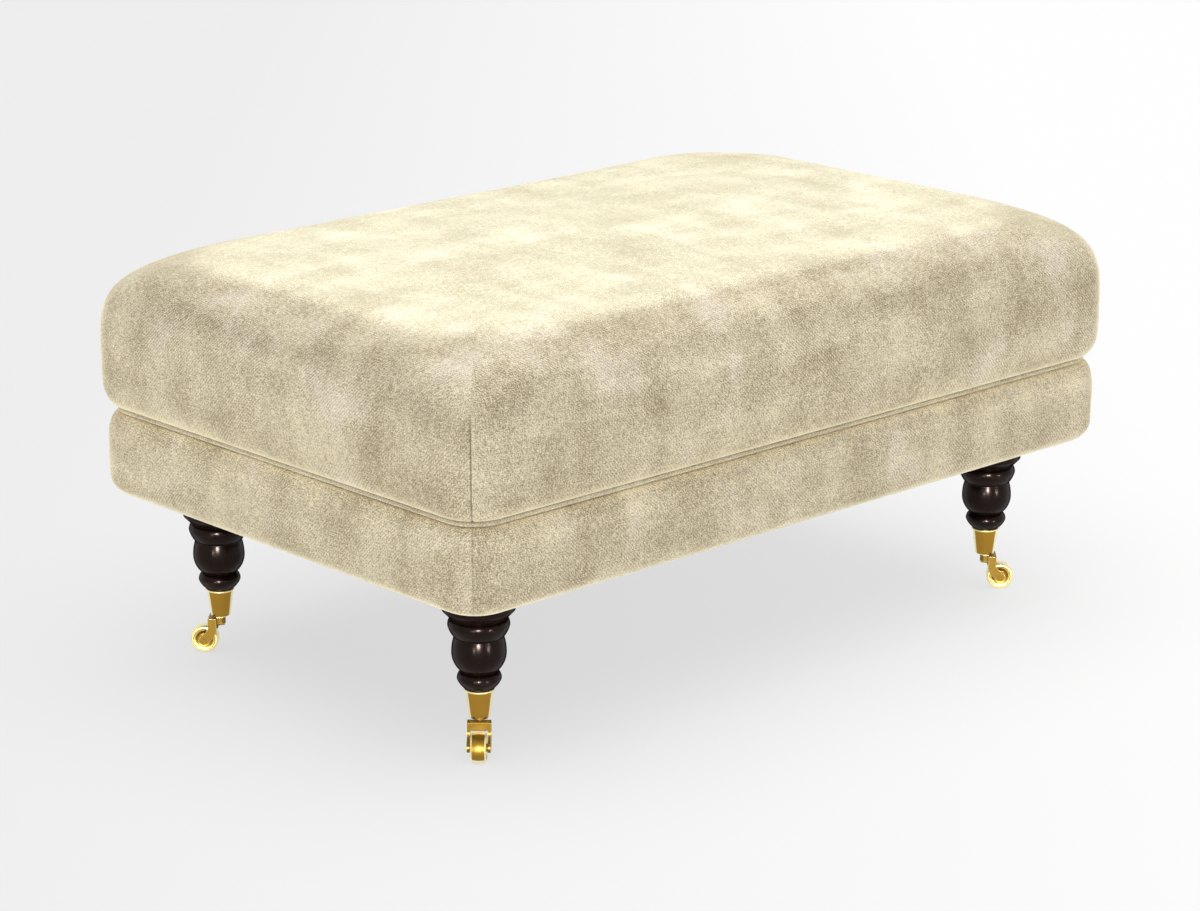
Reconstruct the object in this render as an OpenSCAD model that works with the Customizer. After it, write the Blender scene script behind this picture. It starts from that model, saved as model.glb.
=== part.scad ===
// Rectangular upholstered footstool on four turned legs with brass cup castors.
// Lengths are in millimetres. The origin is on the floor under the middle of the stool,
// +X runs along its long side and +Z points up. An inset is a distance in from the pad's
// fullest side, seen from above.

/* [Seat pad] */
// Length of the pad at its fullest, along X
seat_w = 1000; // [800:5:1400]
// Depth of the pad at its fullest, along Y
seat_d = 650; // [540:5:900]
// Height of the pad, from the piping to the top of its shoulders
pad_h = 177; // [150:1:260]
// How far the shoulders roll in from the sides
shoulder_reach = 155; // [100:1:180]
// Height of the shoulders' roll
shoulder_h = 88; // [50:1:100]
// Squareness of the shoulders' roll, where 2 is an ellipse
shoulder_power = 3.5; // [2:0.1:4]
// Rise of the crown above the shoulders
crown_h = 4; // [2:0.5:12]
// Width of the crown's slope, from the shoulders to the flat patch on top
crown_reach = 100; // [60:1:110]
// Draw-in of the pad at the piping
draw_in = 18.4; // [16:0.1:26]
// Height of the drawn-in roll above the piping
lower_roll_h = 34.7; // [25:0.1:50]
// Corner radius of the sides, seen from above
corner_r = 54; // [54:1:90]
// Corner radius where the shoulders meet the top, seen from above
top_corner_r = 129; // [120:1:150]
// Thickness of the soft wrap round the foam
wadding_t = 12; // [6:0.5:13]

/* [Cloth and piping] */
// Thickness of the cover cloth
cloth_t = 1.2; // [0.8:0.1:1.6]
// Diameter of the covered piping cord
piping_d = 5; // [4:0.5:8]
// Length of the tails of cloth tacked to the rails below the piping
tail_h = 18; // [14:1:30]
// Thickness of the card tack strip
tack_t = 1.5; // [1:0.1:2]
// Height of the card tack strip
tack_h = 12; // [10:0.5:12.5]
// Thickness of the dust cover under the frame
bottoming_t = 0.8; // [0.4:0.1:1.5]
// Inset of the dust cover's edge
bottoming_inset = 42; // [34:1:46]

/* [Border] */
// Height of the border, from its underside to the middle of the piping
border_h = 100.2; // [90:0.1:140]
// Inset of the border's sides
border_set_in = 3.5; // [1:0.1:8]
// Height of the roll at the border's top
border_roll_h = 31; // [20:0.5:40]
// Radius of the roll at the border's underside
border_edge_r = 26; // [15:0.5:28]

/* [Timber frame] */
// Thickness of the rails
rail_t = 25; // [22:0.5:26]
// Drop of the rails' top below the middle of the piping
rail_drop = 3; // [2.6:0.1:6]
// Height of the two cross rails
cross_h = 60; // [45:1:70]
// Distance of each cross rail from the middle
cross_x = 150; // [100:1:200]
// Length of each corner block's sides
block_l = 120; // [110:1:150]
// Height of each corner block
block_h = 40; // [34:1:60]
// Depth that the frame screws' heads are sunk below the rails' faces
screw_sink = 9; // [8:0.5:12]
// Length of the frame screws
frame_screw_l = 60; // [45:1:80]
// Length of the block screws
block_screw_l = 45; // [35:1:55]
// Diameter of the screws' shanks
screw_d = 4; // [3:0.5:5]
// Diameter of the screws' heads
screw_head_d = 8; // [7:0.5:8.5]

/* [Webbing] */
// Width of the webbing straps
strap_w = 50; // [40:1:60]
// Thickness of the webbing straps
strap_t = 1.2; // [1:0.1:1.6]
// Number of straps across the stool
cross_straps = 6; // [4:1:7]
// Number of straps along the stool
long_straps = 3; // [2:1:4]
// Thickness of the platform cloth over the webbing
platform_t = 0.8; // [0.5:0.1:1.2]

/* [Turned legs] */
// Inset of the legs' axes from the ends of the stool
leg_inset_x = 101; // [98:0.5:120]
// Inset of the legs' axes from the long sides
leg_inset_y = 104; // [98:0.5:120]
// Radius of the plain top of the leg
leg_top_r = 38.5; // [34:0.5:44]
// Height of the plain top
leg_top_h = 23.3; // [12:0.1:30]
// Radius of the leg under the slope below the top
collar_r = 29; // [27:0.1:31]
// Height of the slope under the plain top
slope_h = 9.8; // [6:0.1:16]
// Radius of the upper bead
bead_r = 32.6; // [31.5:0.1:36]
// Height of the upper bead above its fullest point
bead_up_h = 7.4; // [4:0.1:10]
// Height of the upper bead below its fullest point
bead_down_h = 12.5; // [6:0.1:16]
// Fullness of the upper bead below, from 1 for a straight slope to 2 for an ellipse
bead_fullness = 1.3; // [1:0.05:2]
// Radius of the neck between the upper bead and the bulb
neck_r = 26; // [22:0.1:28]
// Radius of the bulb
bulb_r = 28.8; // [28.2:0.1:34]
// Height of the bulb above its fullest point
bulb_up_h = 17.5; // [10:0.1:25]
// Height of the bulb below its fullest point
bulb_down_h = 20.9; // [12:0.1:30]
// Radius of the ankle under the bulb
ankle_r = 18.2; // [16:0.1:22]
// Radius of the foot bead
foot_bead_r = 23.4; // [22.5:0.1:28]
// Height of the foot bead above its fullest point
foot_up_h = 7.6; // [4:0.1:12]
// Height of the foot bead below its fullest point
foot_down_h = 11.3; // [6:0.1:16]
// Fullness of the foot bead below, from 1 for a straight slope to 2 for an ellipse
foot_fullness = 1.35; // [1:0.05:2]
// Diameter of the hanger bolts
bolt_d = 8; // [6:1:10]
// Length of each hanger bolt inside its leg
bolt_in_leg = 36; // [25:1:50]
// Length of a hanger bolt above its T-nut
bolt_proud = 5; // [1:0.5:10]

/* [Brass castors] */
// Diameter of the wheels
wheel_d = 32; // [28:0.5:40]
// Width of the wheels over their rims
wheel_w = 16.4; // [12:0.1:18]
// Offset of the axle from the swivel axis
trail = 18.6; // [17:0.1:24]
// Diameter of the axles
axle_d = 4; // [3:0.5:5]
// Free gap between the wheel's rim and each cheek
wheel_gap = 1.1; // [0.6:0.1:2]
// Thickness of the horn's cheeks
cheek_t = 3.3; // [2.5:0.1:4.5]
// Radius of the rounded end of each cheek
cheek_end_r = 5.9; // [5:0.1:7]
// Distance from the swivel axis to the back edge of the cheeks
arm_back = 4.1; // [3:0.1:5]
// Width of the cheeks, seen from the side
arm_w = 9.9; // [8:0.1:11]
// Height of the bridge between the cheeks
bridge_h = 9.3; // [8:0.1:14]
// Radius of the boss round the swivel pin
boss_r = 5.2; // [4.8:0.1:6]
// Height of the boss
boss_h = 8.3; // [6:0.1:9]
// Diameter of the swivel pin
pin_d = 6; // [5:0.5:7]
// Thickness of the thrust washer between horn and cup
washer_t = 1.8; // [1:0.1:3]
// Outer radius of the cup at its lip
cup_top_r = 15.5; // [15:0.1:18]
// Outer radius of the cup at its bottom
cup_bottom_r = 10.6; // [9:0.1:12]
// Height of the cup
cup_h = 32; // [24:0.5:45]
// Thickness of the cup's wall
cup_wall = 1.3; // [1:0.1:2]
// Thickness of the cup's floor
cup_floor_t = 3; // [2:0.1:4]
// Height above the cup's floor of the screw that holds the cup
cup_screw_z = 16; // [10:0.5:20]

/* [Hidden] */
$fn = 96;
gap = 0.2;            // between layers that lie on each other
fit = 0.1;            // between hard pieces that fit together, on the radius
run = 0.05;           // running clearance, on the radius
press = 0.02;         // play of a riveted axle, on the radius
over = 1;             // how far a hole is cut past a face
flap_clear = 3;       // from the border's tucked-under edge to the rails' inner faces
arc_steps = 12;       // steps in a turned or rounded outline
least_step = 0.02;    // points of an outline nearer than this are one

// Corner name, side along X, side along Y and the heading of the castor's trail
CORNERS = [
    ["front_left", -1, -1, 225],
    ["front_right", 1, -1, 315],
    ["back_left", -1, 1, 135],
    ["back_right", 1, 1, 45]
];
PER_CORNER = ["corner_block", "leg", "castor_cup", "castor_horn", "axle", "wheel"];

// Heights, from the floor up
wheel_r = wheel_d / 2;
axle_z = wheel_r;
bridge_z = wheel_d + gap;
horn_top_z = bridge_z + bridge_h;
cup_z = horn_top_z + washer_t + 2 * fit;
lip_z = cup_z + cup_h;
foot_bead_z = lip_z + foot_down_h;
ankle_z = foot_bead_z + foot_up_h;
bulb_z = ankle_z + bulb_down_h;
neck_z = bulb_z + bulb_up_h;
bead_z = neck_z + bead_down_h;
collar_z = bead_z + bead_up_h;
leg_top_z = collar_z + slope_h + leg_top_h;
under_z = leg_top_z + bottoming_t;
piping_z = under_z + border_h;
rail_top_z = piping_z - rail_drop;
platform_z = rail_top_z + 2 * (strap_t + gap);
foam_z = platform_z + platform_t + gap;
pad_z = piping_z + piping_d / 2 + gap;
roll_top_z = pad_z + lower_roll_h;
pad_top_z = piping_z + pad_h;
shoulder_z = pad_top_z - shoulder_h;
tail_z = piping_z - tail_h;

// Insets of the layers at the rails, from the piping inwards and outwards
piping_inset = draw_in + piping_d / 2;
flange_back = draw_in + piping_d;
flange_front = flange_back - cloth_t;
margin_front = flange_back + gap;
margin_back = margin_front + cloth_t;
frame_inset = margin_back + gap;
fold_back = flange_front - gap;
fold_front = fold_back - cloth_t;
tack_back = fold_front - gap;
tack_front = tack_back - tack_t;
border_top_z = piping_z - piping_d / 2 - gap;
heel_inset = frame_inset + 2 * gap;
flap_inset = min(frame_inset + rail_t, corner_r) - flap_clear;

// The rails' lower edge lies inside the roll at the border's underside
edge_room_r = border_edge_r - cloth_t - gap;
edge_reach = max(border_set_in + border_edge_r - frame_inset, 0);
edge_lift = border_edge_r - sqrt(edge_room_r * edge_room_r - edge_reach * edge_reach);
rail_z = under_z + max(cloth_t + gap, edge_lift);
rail_h = rail_top_z - rail_z;

frame_w = seat_w - 2 * frame_inset;
frame_d = seat_d - 2 * frame_inset;
inner_w = frame_w - 2 * rail_t;
inner_d = frame_d - 2 * rail_t;
leg_x = seat_w / 2 - leg_inset_x;
leg_y = seat_d / 2 - leg_inset_y;

// Castor sizes
gap_half = wheel_w / 2 + wheel_gap;
horn_half = gap_half + cheek_t;
arm_front = arm_back + arm_w;
pin_head_r = boss_r - gap;
pin_head_h = 2;
rivet_h = 1.8;
rivet_chamfer = 0.8;
washer_r = boss_r + 0.4;
rivet_z = horn_top_z - boss_h - fit - rivet_h;

// Points of an elliptical arc from angle a to angle b
function arc(cx, cy, rx, ry, a, b, steps = arc_steps) =
    [for (i = [0:steps]) let (t = a + (b - a) * i / steps) [cx + rx * cos(t), cy + ry * sin(t)]];

// Points of a cubic curve after its first point
function curve(p, q, r, s, steps = arc_steps) =
    [for (i = [1:steps]) let (t = i / steps, k = 1 - t)
        k*k*k * p + 3 * k*k*t * q + 3 * k*t*t * r + t*t*t * s];

// The seat pad's skins. A layer is how deep a skin lies below the cover's face.
pad_corner_steps = 8;
roll_steps = 3;
shoulder_steps = 7;

// One level of a skin: a rounded rectangle, all four corners with the same number of points
function level(inset, z, r) =
    [for (q = [0:3]) for (i = [0:pad_corner_steps])
        let (a = 90 * q + 90 * i / pad_corner_steps,
             sx = q == 0 || q == 3 ? 1 : -1,
             sy = q < 2 ? 1 : -1)
        [sx * (seat_w / 2 - inset - r) + r * cos(a), sy * (seat_d / 2 - inset - r) + r * sin(a), z]];

function crown_levels(layer) =
    [for (s = [1, 0.5])
        let (inset = shoulder_reach + crown_reach * s)
        level(inset, pad_top_z + crown_h * s * (2 - s) - layer, top_corner_r - crown_reach * s)];

function shoulder_levels(layer) =
    [for (i = [shoulder_steps:-1:0])
        let (s = i / shoulder_steps,
             across = pow(max(cos(90 * s), 0), 2 / shoulder_power),
             up = pow(sin(90 * s), 2 / shoulder_power))
        level(shoulder_reach * (1 - across) + layer * across,
              shoulder_z + (shoulder_h - layer) * up,
              corner_r + (top_corner_r - corner_r) * s - layer * across)];

function roll_levels(layer) =
    [for (i = [roll_steps:-1:0])
        let (a = 90 * i / roll_steps, inset = layer + (draw_in - layer) * (1 - sin(a)))
        level(inset, roll_top_z - (lower_roll_h - layer) * cos(a), corner_r - inset)];

function pad_levels(layer) = concat(crown_levels(layer), shoulder_levels(layer), roll_levels(layer));

function edge_level(inset, z) = level(inset, z, corner_r - inset);

function backwards(list) = [for (i = [len(list) - 1:-1:0]) list[i]];

// A closed solid through a chain of levels, with a fan over the first and the last
module through_levels(levels) {
    n = len(levels[0]);
    last = len(levels) - 1;
    middle_first = (last + 1) * n;
    middle_last = middle_first + 1;
    points = concat([for (l = levels) for (p = l) p], [[0, 0, levels[0][0].z], [0, 0, levels[last][0].z]]);
    walls = [for (l = [0:last - 1]) for (i = [0:n - 1])
        let (a = l * n + i, b = l * n + (i + 1) % n)
        each [[a, b, b + n], [a, b + n, a + n]]];
    lid = [for (i = [0:n - 1]) [middle_first, (i + 1) % n, i]];
    base = [for (i = [0:n - 1]) [middle_last, last * n + i, last * n + (i + 1) % n]];
    polyhedron(points, concat(lid, walls, base));
}

module seat_cover() {
    color("#e3dabb")
        through_levels(concat(
            pad_levels(0),
            [edge_level(margin_front, pad_z), edge_level(margin_front, tail_z),
             edge_level(margin_back, tail_z), edge_level(margin_back, pad_z + cloth_t)],
            backwards(pad_levels(cloth_t))));
}

module seat_wadding() {
    outer = cloth_t + gap;
    inner = outer + wadding_t;
    color("#f4f2ec")
        through_levels(concat(
            pad_levels(outer),
            [edge_level(frame_inset, pad_z + outer), edge_level(frame_inset, pad_z + inner)],
            backwards(pad_levels(inner))));
}

module seat_foam() {
    layer = cloth_t + 2 * gap + wadding_t;
    color("#efe3a8")
        through_levels(concat(
            pad_levels(layer),
            [edge_level(heel_inset, pad_z + layer), edge_level(heel_inset, foam_z)]));
}

// A rounded rectangle of the stool's plan at an inset
module plan(inset) {
    r = corner_r - inset;
    w = seat_w - 2 * inset;
    d = seat_d - 2 * inset;
    square([w - 2 * r, d], center = true);
    square([w, d - 2 * r], center = true);
    for (sx = [-1, 1])
        for (sy = [-1, 1])
            translate([sx * (w / 2 - r), sy * (d / 2 - r)])
                circle(r);
}

// Runs an upright section round the stool: the section's x is corner_r less the inset, its y is the height
module around() {
    for (q = [0:3]) {
        reach = (q % 2 == 0 ? seat_w : seat_d) / 2 - corner_r;
        length = (q % 2 == 0 ? seat_d : seat_w) - 2 * corner_r;
        rotate([0, 0, 90 * q])
            translate([reach, 0, 0]) {
                rotate([90, 0, 0])
                    linear_extrude(height = length, center = true)
                        children();
                translate([0, length / 2, 0])
                    rotate_extrude(angle = 90)
                        children();
            }
    }
}

function out(points) = [for (p = points) [corner_r - p[0], p[1]]];

module seat_piping() {
    color("#ddd3b2")
        around() {
            translate([corner_r - piping_inset, piping_z])
                circle(piping_d / 2, $fn = 32);
            polygon(out([[flange_front, piping_z], [flange_back, piping_z],
                         [flange_back, tail_z], [flange_front, tail_z]]));
        }
}

// The border's face at a depth below the cloth's face, from its roll down to an inset under the frame
function border_face(depth, foot_inset) =
    let (middle = border_set_in + border_edge_r,
         r = border_edge_r - depth,
         turn = acos(max(0, (middle - foot_inset) / r)))
    concat(
        arc(draw_in, border_top_z - border_roll_h,
            border_set_in - draw_in + depth, border_roll_h - depth, 90, 0),
        arc(middle, under_z + border_edge_r, -r, -r, 0, turn),
        foot_inset > middle ? [[foot_inset, under_z + depth]] : []);

module border_cover() {
    color("#ddd3b2")
        around()
            polygon(out(concat(
                [[fold_back, tail_z], [fold_back, border_top_z]],
                border_face(0, flap_inset),
                backwards(border_face(cloth_t, flap_inset)),
                [[fold_front, border_top_z - cloth_t], [fold_front, tail_z]])));
}

module border_padding() {
    depth = cloth_t + gap;
    back = frame_inset - gap;
    step_z = tail_z - gap;
    color("#f4f2ec")
        around()
            polygon(out(concat(
                border_face(depth, back),
                [[back, step_z], [tack_front - gap, step_z], [tack_front - gap, border_top_z - depth]])));
}

module tack_strip() {
    top_z = border_top_z - cloth_t - gap;
    color("#c9b48a")
        around()
            polygon(out([[tack_front, top_z], [tack_back, top_z],
                         [tack_back, top_z - tack_h], [tack_front, top_z - tack_h]]));
}

// Places a piece at each leg's axis
module at_corner(c) {
    translate([c[1] * leg_x, c[2] * leg_y, 0])
        children();
}

module bottoming_cloth() {
    color("#2b2b2b")
        translate([0, 0, leg_top_z])
            linear_extrude(height = bottoming_t)
                difference() {
                    plan(bottoming_inset);
                    for (c = CORNERS)
                        at_corner(c)
                            circle(bolt_d / 2 + fit);
                }
}

// A countersunk wood screw along +Z with its head at the origin, pointing down into the timber
module screw(length) {
    head_h = (screw_head_d - screw_d) / 2;
    rotate_extrude()
        polygon([[0, 0], [screw_head_d / 2, 0], [screw_d / 2, -head_h],
                 [screw_d / 2, -length + screw_d], [0, -length]]);
}

// The hole for such a screw, with the pocket that its head is sunk in
module screw_hole(length) {
    head_h = (screw_head_d - screw_d) / 2;
    cylinder(h = screw_sink + over, r = screw_head_d / 2 + fit);
    translate([0, 0, -head_h])
        cylinder(h = head_h, r1 = screw_d / 2 + fit, r2 = screw_head_d / 2 + fit);
    translate([0, 0, -length])
        cylinder(h = length, r = screw_d / 2 + fit);
}

// Places a screw through a long rail: x along the rail, height z
module through_long_rail(x, z, side) {
    translate([x, side * (frame_d / 2 - screw_sink), z])
        rotate([-90 * side, 0, 0])
            children();
}

// Places a screw through an end rail: y along the rail, height z
module through_end_rail(y, z, side) {
    translate([side * (frame_w / 2 - screw_sink), y, z])
        rotate([0, 90 * side, 0])
            children();
}

cross_rise = 5;
cross_z = rail_z + cross_rise;
block_screw_low_z = under_z + 0.3 * block_h;
block_screw_high_z = under_z + 0.7 * block_h;
frame_screw_zs = [block_screw_high_z + 3 * screw_d, rail_top_z - 5 * screw_d];
cross_screw_zs = [cross_z + 0.25 * cross_h, cross_z + 0.75 * cross_h];
block_screw_near = 22;
block_screw_far = 94;

module at_frame_screws() {
    for (side = [-1, 1]) {
        for (x = [-1, 1] * (frame_w - rail_t) / 2)
            for (z = frame_screw_zs)
                through_long_rail(x, z, side)
                    children();
        for (x = [-cross_x, cross_x])
            for (z = cross_screw_zs)
                through_long_rail(x, z, side)
                    children();
    }
}

module at_block_screws() {
    for (c = CORNERS)
        for (from_corner = [block_screw_near, block_screw_far]) {
            through_long_rail(c[1] * (inner_w / 2 - from_corner), block_screw_low_z, c[2])
                children();
            through_end_rail(c[2] * (inner_d / 2 - from_corner), block_screw_high_z, c[1])
                children();
        }
}

module frame_screws() {
    color("#b8b4a8")
        at_frame_screws()
            screw(frame_screw_l);
}

module block_screws() {
    color("#b8b4a8")
        at_block_screws()
            screw(block_screw_l);
}

// Timber cut to the frame's rounded outline and drilled for its screws
module timber() {
    color("#d9b98a")
        difference() {
            intersection() {
                children();
                linear_extrude(height = pad_top_z)
                    plan(frame_inset);
            }
            at_frame_screws()
                screw_hole(frame_screw_l);
            at_block_screws()
                screw_hole(block_screw_l);
        }
}

module long_rail(side) {
    timber()
        translate([-frame_w / 2, side > 0 ? frame_d / 2 - rail_t : -frame_d / 2, rail_z])
            cube([frame_w, rail_t, rail_h]);
}

module end_rail(side) {
    timber()
        translate([side > 0 ? frame_w / 2 - rail_t : -frame_w / 2, -inner_d / 2, rail_z])
            cube([rail_t, inner_d, rail_h]);
}

module cross_rail(side) {
    timber()
        translate([side * cross_x - rail_t / 2, -inner_d / 2, cross_z])
            cube([rail_t, inner_d, cross_h]);
}

// Corner block: square to the rails, with its inner corner sawn off
module corner_block(c) {
    half = block_l / 2;
    difference() {
        timber()
            translate([c[1] * inner_w / 2, c[2] * inner_d / 2, under_z])
                scale([-c[1], -c[2], 1])
                    linear_extrude(height = block_h)
                        polygon([[0, 0], [block_l, 0], [block_l, half], [half, block_l], [0, block_l]]);
        at_corner(c) {
            translate([0, 0, under_z - over])
                cylinder(h = block_h + 2 * over, r = bolt_d / 2 + fit);
            translate([0, 0, under_z + block_h - t_nut_h - fit])
                cylinder(h = t_nut_h + fit + over, r = t_nut_r + fit);
        }
    }
}

t_nut_wall = 1.4;
t_nut_r = bolt_d / 2 + fit + t_nut_wall;
t_nut_h = 13;
t_nut_flange_r = 2 * t_nut_r;
t_nut_flange_t = 1.6;

module t_nuts() {
    color("#b8b4a8")
        for (c = CORNERS)
            at_corner(c)
                translate([0, 0, under_z + block_h])
                    difference() {
                        union() {
                            translate([0, 0, -t_nut_h])
                                cylinder(h = t_nut_h, r = t_nut_r);
                            cylinder(h = t_nut_flange_t, r = t_nut_flange_r);
                        }
                        translate([0, 0, -t_nut_h - over])
                            cylinder(h = t_nut_h + t_nut_flange_t + 2 * over, r = bolt_d / 2 + fit);
                    }
}

module hanger_bolts() {
    top_z = under_z + block_h + t_nut_flange_t + bolt_proud;
    color("#b8b4a8")
        for (c = CORNERS)
            at_corner(c)
                translate([0, 0, leg_top_z - bolt_in_leg])
                    cylinder(h = top_z - leg_top_z + bolt_in_leg, r = bolt_d / 2);
}

// Webbing: the cross straps lie flat on the rails, and the long straps weave over and under them
cross_pitch = inner_w / cross_straps;
long_pitch = inner_d / long_straps;
strap_z = rail_top_z + strap_t / 2;
strap_edge = 5;
strap_ease = 6;

function cross_strap_x(i) = cross_pitch * (i - (cross_straps - 1) / 2);
function long_strap_y(i) = long_pitch * (i - (long_straps - 1) / 2);

module webbing_cross() {
    color("#b08d5c")
        for (i = [0:cross_straps - 1])
            translate([cross_strap_x(i), 0, strap_z])
                cube([strap_w, frame_d - 2 * strap_edge, strap_t], center = true);
}

// Centre line of a long strap, seen from the side
function weave(row) = concat(
    [[-frame_w / 2 + strap_edge, strap_z]],
    [[-inner_w / 2, strap_z]],
    [for (i = [0:cross_straps - 1])
        let (z = strap_z + ((i + row) % 2 == 0 ? 1 : -1) * (strap_t + gap), half = strap_w / 2 + strap_ease)
        each [[cross_strap_x(i) - half, z], [cross_strap_x(i) + half, z]]],
    [[inner_w / 2, strap_z]],
    [[frame_w / 2 - strap_edge, strap_z]]);

module webbing_long() {
    color("#9c7b4c")
        for (row = [0:long_straps - 1]) {
            line = weave(row);
            translate([0, long_strap_y(row) + strap_w / 2, 0])
                rotate([90, 0, 0])
                    linear_extrude(height = strap_w)
                        polygon(concat(
                            [for (p = line) p + [0, strap_t / 2]],
                            [for (p = backwards(line)) p - [0, strap_t / 2]]));
        }
}

module platform_cloth() {
    color("#d8cdb4")
        translate([0, 0, platform_z])
            linear_extrude(height = platform_t)
                plan(heel_inset + strap_edge);
}

// Turned leg, with a tapered peg that fills the castor's cup
peg_top_r = cup_top_r - cup_wall - fit;
peg_bottom_z = cup_z + cup_floor_t + pin_head_h + 2 * fit;
cup_slope = (cup_top_r - cup_bottom_r) / cup_h;
peg_bottom_r = peg_top_r - cup_slope * (lip_z - peg_bottom_z);

// The bulb is two arcs that meet at its fullest point
function bulb_arc_r(h, drop) = (h * h + drop * drop) / (2 * drop);
bulb_up_r = bulb_arc_r(bulb_up_h, bulb_r - neck_r);
bulb_down_r = bulb_arc_r(bulb_down_h, bulb_r - ankle_r);

// A bead's underside, full at its widest and straighter below
function bead_underside(cx, cy, rx, ry, fullness) = [
    for (i = [0:arc_steps])
        [cx + rx * pow(cos(90 * i / arc_steps), 2 / fullness),
         cy - ry * pow(sin(90 * i / arc_steps), 2 / fullness)]
];

function leg_outline() = concat(
    [[0, leg_top_z], [leg_top_r, leg_top_z], [leg_top_r, collar_z + slope_h]],
    arc(collar_r, bead_z, bead_r - collar_r, bead_up_h, 90, 0),
    bead_underside(neck_r, bead_z, bead_r - neck_r, bead_down_h, bead_fullness),
    arc(bulb_r - bulb_up_r, bulb_z, bulb_up_r, bulb_up_r, asin(bulb_up_h / bulb_up_r), 0),
    arc(bulb_r - bulb_down_r, bulb_z, bulb_down_r, bulb_down_r, 0, -asin(bulb_down_h / bulb_down_r)),
    arc(ankle_r, foot_bead_z, foot_bead_r - ankle_r, foot_up_h, 90, 0),
    bead_underside(peg_top_r + fit, foot_bead_z, foot_bead_r - peg_top_r - fit, foot_down_h, foot_fullness),
    [[peg_top_r, lip_z], [peg_bottom_r, peg_bottom_z], [0, peg_bottom_z]]);

function tidy(points) = [for (i = [0:len(points) - 1])
    if (i == 0 || norm(points[i] - points[i - 1]) > least_step) points[i]];

module leg(c) {
    color("#2a1a15")
        at_corner(c)
            difference() {
                rotate_extrude()
                    polygon(tidy(leg_outline()));
                translate([0, 0, leg_top_z - bolt_in_leg - fit])
                    cylinder(h = bolt_in_leg + fit + over, r = bolt_d / 2 + fit);
                rotate([0, 0, c[3] + 180])
                    at_cup_screw()
                        screw_shank_hole();
            }
}

// Cup screw: level, through the cup's wall into the peg, on the side away from the trail
cup_screw_l = 9;
cup_screw_tip = 1.5;
cup_screw_d = 2.4;
cup_screw_head_d = 4.6;
cup_screw_head_h = (cup_screw_head_d - cup_screw_d) / 2;
cup_screw_sink = 0.3;
cup_screw_face = cup_bottom_r + cup_slope * (cup_floor_t + cup_screw_z) - cup_screw_sink;

module at_cup_screw() {
    translate([cup_screw_face, 0, cup_z + cup_floor_t + cup_screw_z])
        rotate([0, 90, 0])
            children();
}

module screw_shank_hole() {
    translate([0, 0, -cup_screw_l - fit])
        cylinder(h = cup_screw_l + fit + over, r = cup_screw_d / 2 + fit, $fn = 24);
    translate([0, 0, -cup_screw_head_h])
        cylinder(h = cup_screw_head_h, r1 = cup_screw_d / 2 + fit,
                 r2 = cup_screw_head_d / 2 + fit, $fn = 24);
    cylinder(h = 2 * over, r = cup_screw_head_d / 2 + fit, $fn = 24);
}

module cup_screws() {
    color("goldenrod")
        for (c = CORNERS)
            at_corner(c)
                rotate([0, 0, c[3] + 180])
                    at_cup_screw()
                        rotate_extrude($fn = 24)
                            polygon([[0, 0], [cup_screw_head_d / 2, 0], [cup_screw_d / 2, -cup_screw_head_h],
                                     [cup_screw_d / 2, -cup_screw_l + cup_screw_tip], [0, -cup_screw_l]]);
}

// Tapered brass socket with a thin rolled lip
lip_r = 0.8;
cup_chamfer = 0.6;

module castor_cup(c) {
    inner_top_r = cup_top_r - cup_wall;
    inner_bottom_r = cup_bottom_r - cup_wall + cup_slope * cup_floor_t;
    color("goldenrod")
        at_corner(c)
            difference() {
                rotate_extrude()
                    polygon(concat(
                        [[pin_d / 2 + fit, cup_z], [cup_bottom_r - cup_chamfer, cup_z],
                         [cup_bottom_r, cup_z + cup_chamfer],
                         [cup_top_r - cup_slope * 2 * lip_r, lip_z - 2 * lip_r]],
                        arc(cup_top_r, lip_z - lip_r, lip_r, lip_r, -60, 90, 6),
                        [[inner_top_r, lip_z], [inner_bottom_r, cup_z + cup_floor_t],
                         [pin_d / 2 + fit, cup_z + cup_floor_t]]));
                rotate([0, 0, c[3] + 180])
                    at_cup_screw()
                        screw_shank_hole();
            }
}

module swivel_pins() {
    head_z = cup_z + cup_floor_t + fit;
    color("goldenrod")
        for (c = CORNERS)
            at_corner(c)
                rotate_extrude()
                    polygon([[0, rivet_z], [pin_head_r - rivet_chamfer, rivet_z],
                             [pin_head_r, rivet_z + rivet_chamfer],
                             [pin_head_r, rivet_z + rivet_h], [pin_d / 2, rivet_z + rivet_h],
                             [pin_d / 2, head_z], [pin_head_r, head_z], [pin_head_r, head_z + pin_head_h],
                             [0, head_z + pin_head_h]]);
}

module thrust_washers() {
    color("goldenrod")
        for (c = CORNERS)
            at_corner(c)
                translate([0, 0, horn_top_z + fit])
                    difference() {
                        cylinder(h = washer_t, r = washer_r);
                        translate([0, 0, -over])
                            cylinder(h = washer_t + 2 * over, r = pin_d / 2 + fit);
                    }
}

// Turns a castor piece to its trail: its x runs from the swivel axis to the wheel, its y across
module on_trail(c) {
    at_corner(c)
        rotate([0, 0, c[3]])
            children();
}

// Where the cheek's curves meet: the end of its flat top, its brow in front, where the rounded
// end begins and ends, and its wrist behind
top_back = 4.5;
brow_drop = 11;
hand_angle = 60;
heel_angle = -138;
wrist_drop = 3.7;

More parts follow.
